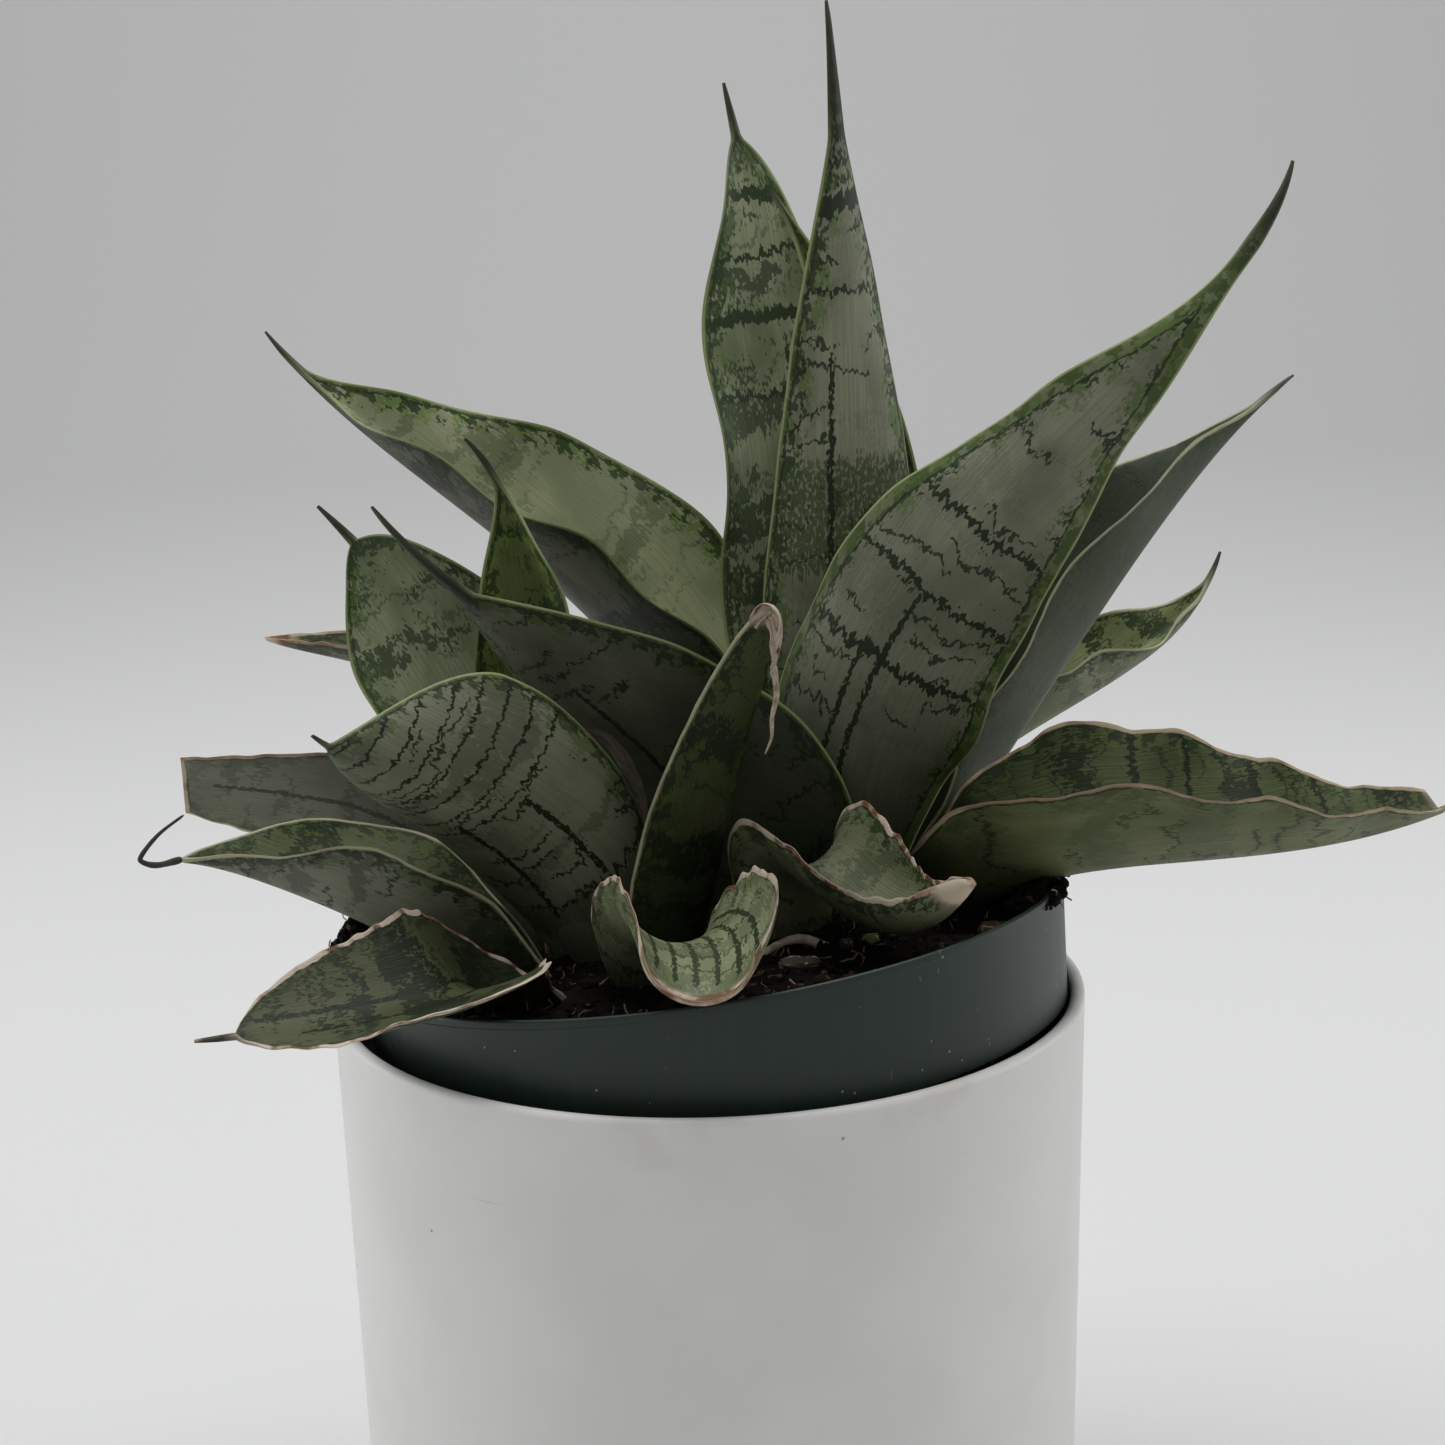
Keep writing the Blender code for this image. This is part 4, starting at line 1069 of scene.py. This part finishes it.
class SNAKE_OT_nursery_pot(bpy.types.Operator):
    """Turn the leaning plastic nursery pot and drill its drain holes"""

    bl_idname = "snake.nursery_pot"
    bl_label = "Nursery Pot"

    def execute(self, context):
        pots = context.scene.snake_pots
        rim, wall = pots.nursery_radius, pots.nursery_wall
        depth, bottom = pots.band_depth, -pots.nursery_height
        band_foot = rim - depth * BAND_SLOPE
        neck = band_foot - 3 * MM
        corners = (
            (0, bottom + 1.6 * MM, 0),
            (pots.base_radius - wall, bottom + 1.6 * MM, 1 * MM),
            (neck - wall, -depth - wall, 0.5 * MM),
            (band_foot - wall, -depth + wall, 0.5 * MM),
            (rim - wall, 0, wall * 0.45),
            (rim, 0, wall * 0.45),
            (rim - 0.12 * MM, -1.6 * MM, 0.1 * MM),
            (rim - 0.35 * MM, -1.9 * MM, 0.1 * MM),
            (band_foot, -depth, 0.5 * MM),
            (neck, -depth, 0.5 * MM),
            (pots.base_radius, bottom, 1.2 * MM),
            (0, bottom, 0),
        )
        mesh = turned_mesh(corners, pots.steps, 4)
        mesh.transform(lean())
        face_outwards(mesh)
        plastic = plastic_finish(pots.plastic)
        piece = add_piece("nursery_pot", mesh, plastic, "nursery_plastic", ["nursery_pot"])
        self.drill(piece, bottom)
        piece.data.shade_smooth()
        piece.data.set_sharp_from_angle(angle=math.radians(30))
        return {"FINISHED"}

    def drill(self, piece, bottom):
        holes = bmesh.new()
        sizes = {"radius1": 4.5 * MM, "radius2": 4.5 * MM, "depth": 8 * MM}
        for x, y in circle(36 * MM, 8):
            place = Matrix.Translation((x, y, bottom))
            bmesh.ops.create_cone(holes, cap_ends=True, segments=32, matrix=place, **sizes)
        mesh = bpy.data.meshes.new("drills")
        holes.to_mesh(mesh)
        holes.free()
        mesh.transform(lean())
        drills = linked("drills", mesh)
        cut = piece.modifiers.new("drain", "BOOLEAN")
        cut.operation = "DIFFERENCE"
        cut.object = drills
        piece.data = with_modifiers(piece)
        bpy.data.objects.remove(drills)


class SNAKE_OT_soil(bpy.types.Operator):
    """Heap the soil, strew its crumbs and fibres, and lay the chips on it"""

    bl_idname = "snake.soil"
    bl_label = "Soil"

    def execute(self, context):
        settings = context.scene.snake_soil
        body, top = soil_mesh(context.scene.snake_pots)
        peat = peat_finish("peat", settings.peat, settings.fibre)
        add_piece("soil", body, peat, "soil", ["soil"], sharp=60)
        crumbs, fibres = scatter_tree(crumb_shapes), scatter_tree(fibre_shapes)
        mounds = rim_mounds()
        hair = strand_finish("coir", settings.fibre, (0.3, 0.22, 0.14))
        for name, tree, ground, density, smallest, largest, finish in (
            ("soil_crumbs", crumbs, top, settings.crumbs * 0.35, 0.5, 2.0, peat),
            ("soil_clods", crumbs, top, settings.clods, 1.6, 5.0, peat),
            ("rim_spill", crumbs, mounds, settings.crumbs * 2, 0.8, 3.2, peat),
            ("soil_fibres", fibres, top, settings.fibres, 4, 11, hair),
            ("rim_fibres", fibres, mounds, settings.fibres * 5, 3, 9, hair),
        ):
            sizes = {"Smallest": smallest * MM, "Largest": largest * MM}
            mesh = grown(tree, ground.copy(), {"Density": density, "Seed": settings.seed, **sizes})
            add_piece(name, mesh, finish, "soil", sharp=50)
        for seed, (node, slot, base, pale) in enumerate(CHIPS):
            finish = chip_finish(node, base, pale)
            add_piece(node, chip_mesh(node, seed * 3.7), finish, slot, [node], sharp=55)
        return {"FINISHED"}


class SNAKE_OT_leaves(bpy.types.Operator):
    """Grow every leaf"""

    bl_idname = "snake.leaves"
    bl_label = "Leaves"

    def execute(self, context):
        settings = context.scene.snake_leaves
        detail = settings.rows, settings.columns, settings.thickness
        for seed, leaf in enumerate(LEAVES):
            dress = DRESSES[leaf.name]
            mesh = leaf_mesh(leaf, seed * 5, *detail, dress.margin.dried, dress.dried)
            finish = blade_finish(leaf.name, dress, seed + 1, tuple(settings.paper), tuple(settings.awn))
            add_piece(leaf.name, mesh, finish, "leaf", [leaf.name], sharp=75)
        return {"FINISHED"}


class SNAKE_OT_dry_scraps(bpy.types.Operator):
    """Add the dry sheath, the withered tip, its thread, the hair-like tip and the bare root"""

    bl_idname = "snake.dry_scraps"
    bl_label = "Dry Scraps"

    def execute(self, context):
        paper = tuple(context.scene.snake_leaves.paper)
        for order, (leaf, base) in enumerate(zip(SCRAPS, ((0.09, 0.075, 0.055), paper))):
            mesh = leaf_mesh(leaf, 200 + order, 70, 15, 0.5 * MM, 1.2, NEVER)
            add_piece(leaf.name, mesh, paper_finish("papery_" + leaf.name, base), "leaf", sharp=75)
        finishes = {
            "root": strand_finish("bare_root", (0.66, 0.61, 0.50), (0.45, 0.37, 0.27)),
            "papery": strand_finish("papery_thread", paper, (0.35, 0.25, 0.17)),
            "awn": strand_finish("hair_awn", (0.03, 0.035, 0.025), (0.05, 0.06, 0.03)),
        }
        for strand in STRANDS:
            stood_for = [strand.name] if strand.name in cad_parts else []
            finish = finishes[strand.finish]
            add_piece(strand.name, strand_mesh(strand), finish, strand.slot, stood_for, sharp=60)
        return {"FINISHED"}


class SNAKE_OT_studio(bpy.types.Operator):
    """Set up the pale floor and backdrop, the soft lights and the camera"""

    bl_idname = "snake.studio"
    bl_label = "Studio"

    def execute(self, context):
        settings = context.scene.snake_studio
        self.backdrop(settings)
        for name, place, aim, setting, part, size in LIGHTS:
            self.light(name, place, aim, getattr(settings, setting) * part, size)
        world = bpy.data.worlds.new("studio_air")
        world.use_nodes = True
        air = world.node_tree.nodes["Background"].inputs
        air["Color"].default_value = (0.82, 0.82, 0.82, 1)
        air["Strength"].default_value = 0.4
        context.scene.world = world
        context.scene.view_settings.view_transform = "Standard"
        context.scene.camera = self.camera(settings)
        return {"FINISHED"}

    def backdrop(self, settings):
        """A floor that curves up into a wall behind."""
        radius, wall, width, front = 0.9, 2.6, 3.5, -3.0
        outline = [(front, 0), (wall - radius, 0)]
        for step in range(1, 25):
            angle = math.radians(90 * step / 24)
            outline.append((wall - radius + radius * math.sin(angle), radius - radius * math.cos(angle)))
        outline.append((wall, 3.5))
        points = [(side * width, y, z) for y, z in outline for side in (-1, 1)]
        faces = [(2 * i, 2 * i + 1, 2 * i + 3, 2 * i + 2) for i in range(len(outline) - 1)]
        mesh = new_mesh("studio_sweep", points, faces)
        mesh.shade_smooth()
        mesh.materials.append(backdrop_finish(settings.floor))
        sweep = linked("studio_sweep", mesh)

    def light(self, name, place, aim, energy, size):
        data = bpy.data.lights.new(name, "AREA")
        data.shape = "DISK"
        data.size = size
        data.energy = energy
        lamp = linked(name, data)
        lamp.location = place
        lamp.rotation_euler = (Vector(place) - Vector(aim)).to_track_quat("Z", "Y").to_euler()
        lamp.visible_camera = False

    def camera(self, settings):
        """A camera that looks down on the cover pot's lip, then is turned right, up and to its left."""
        data = bpy.data.cameras.new("camera")
        data.lens = settings.lens
        data.sensor_width = 36
        data.clip_start = 0.01
        made = linked("camera", data)
        look = Matrix.Translation(LIP_CENTRE) @ Matrix.Rotation(math.pi / 2 - settings.rise, 4, "X")
        look @= Matrix.Translation((0, 0, settings.distance))
        for angle, axis in ((-settings.pan, "Y"), (settings.tilt, "X"), (-settings.roll, "Z")):
            look @= Matrix.Rotation(angle, 4, axis)
        made.matrix_world = look
        return made


OPERATORS = (
    SNAKE_OT_studio,
    SNAKE_OT_cover_pot,
    SNAKE_OT_nursery_pot,
    SNAKE_OT_soil,
    SNAKE_OT_leaves,
    SNAKE_OT_dry_scraps,
)
SETTINGS = (
    ("snake_pots", PotSettings),
    ("snake_soil", SoilSettings),
    ("snake_leaves", LeafSettings),
    ("snake_studio", StudioSettings),
)


class SNAKE_PT_panel(bpy.types.Panel):
    """Lists the plant's settings and the buttons that build it"""

    bl_idname = "SNAKE_PT_panel"
    bl_label = "Snake Plant"
    bl_space_type = "VIEW_3D"
    bl_region_type = "UI"
    bl_category = "Snake Plant"

    def draw(self, context):
        for name, group in SETTINGS:
            box = self.layout.box()
            for key in group.__annotations__:
                box.prop(getattr(context.scene, name), key)
        for operator in OPERATORS:
            self.layout.operator(operator.bl_idname)


def register():
    for name, group in SETTINGS:
        bpy.utils.register_class(group)
        setattr(bpy.types.Scene, name, PointerProperty(type=group))
    for operator in OPERATORS:
        bpy.utils.register_class(operator)
    bpy.utils.register_class(SNAKE_PT_panel)


def unregister():
    bpy.utils.unregister_class(SNAKE_PT_panel)
    for operator in reversed(OPERATORS):
        bpy.utils.unregister_class(operator)
    for name, group in reversed(SETTINGS):
        delattr(bpy.types.Scene, name)
        bpy.utils.unregister_class(group)


def main():
    register()
    for operator in OPERATORS:
        family, name = operator.bl_idname.split(".")
        getattr(getattr(bpy.ops, family), name)()


if __name__ == "__main__":
    main()
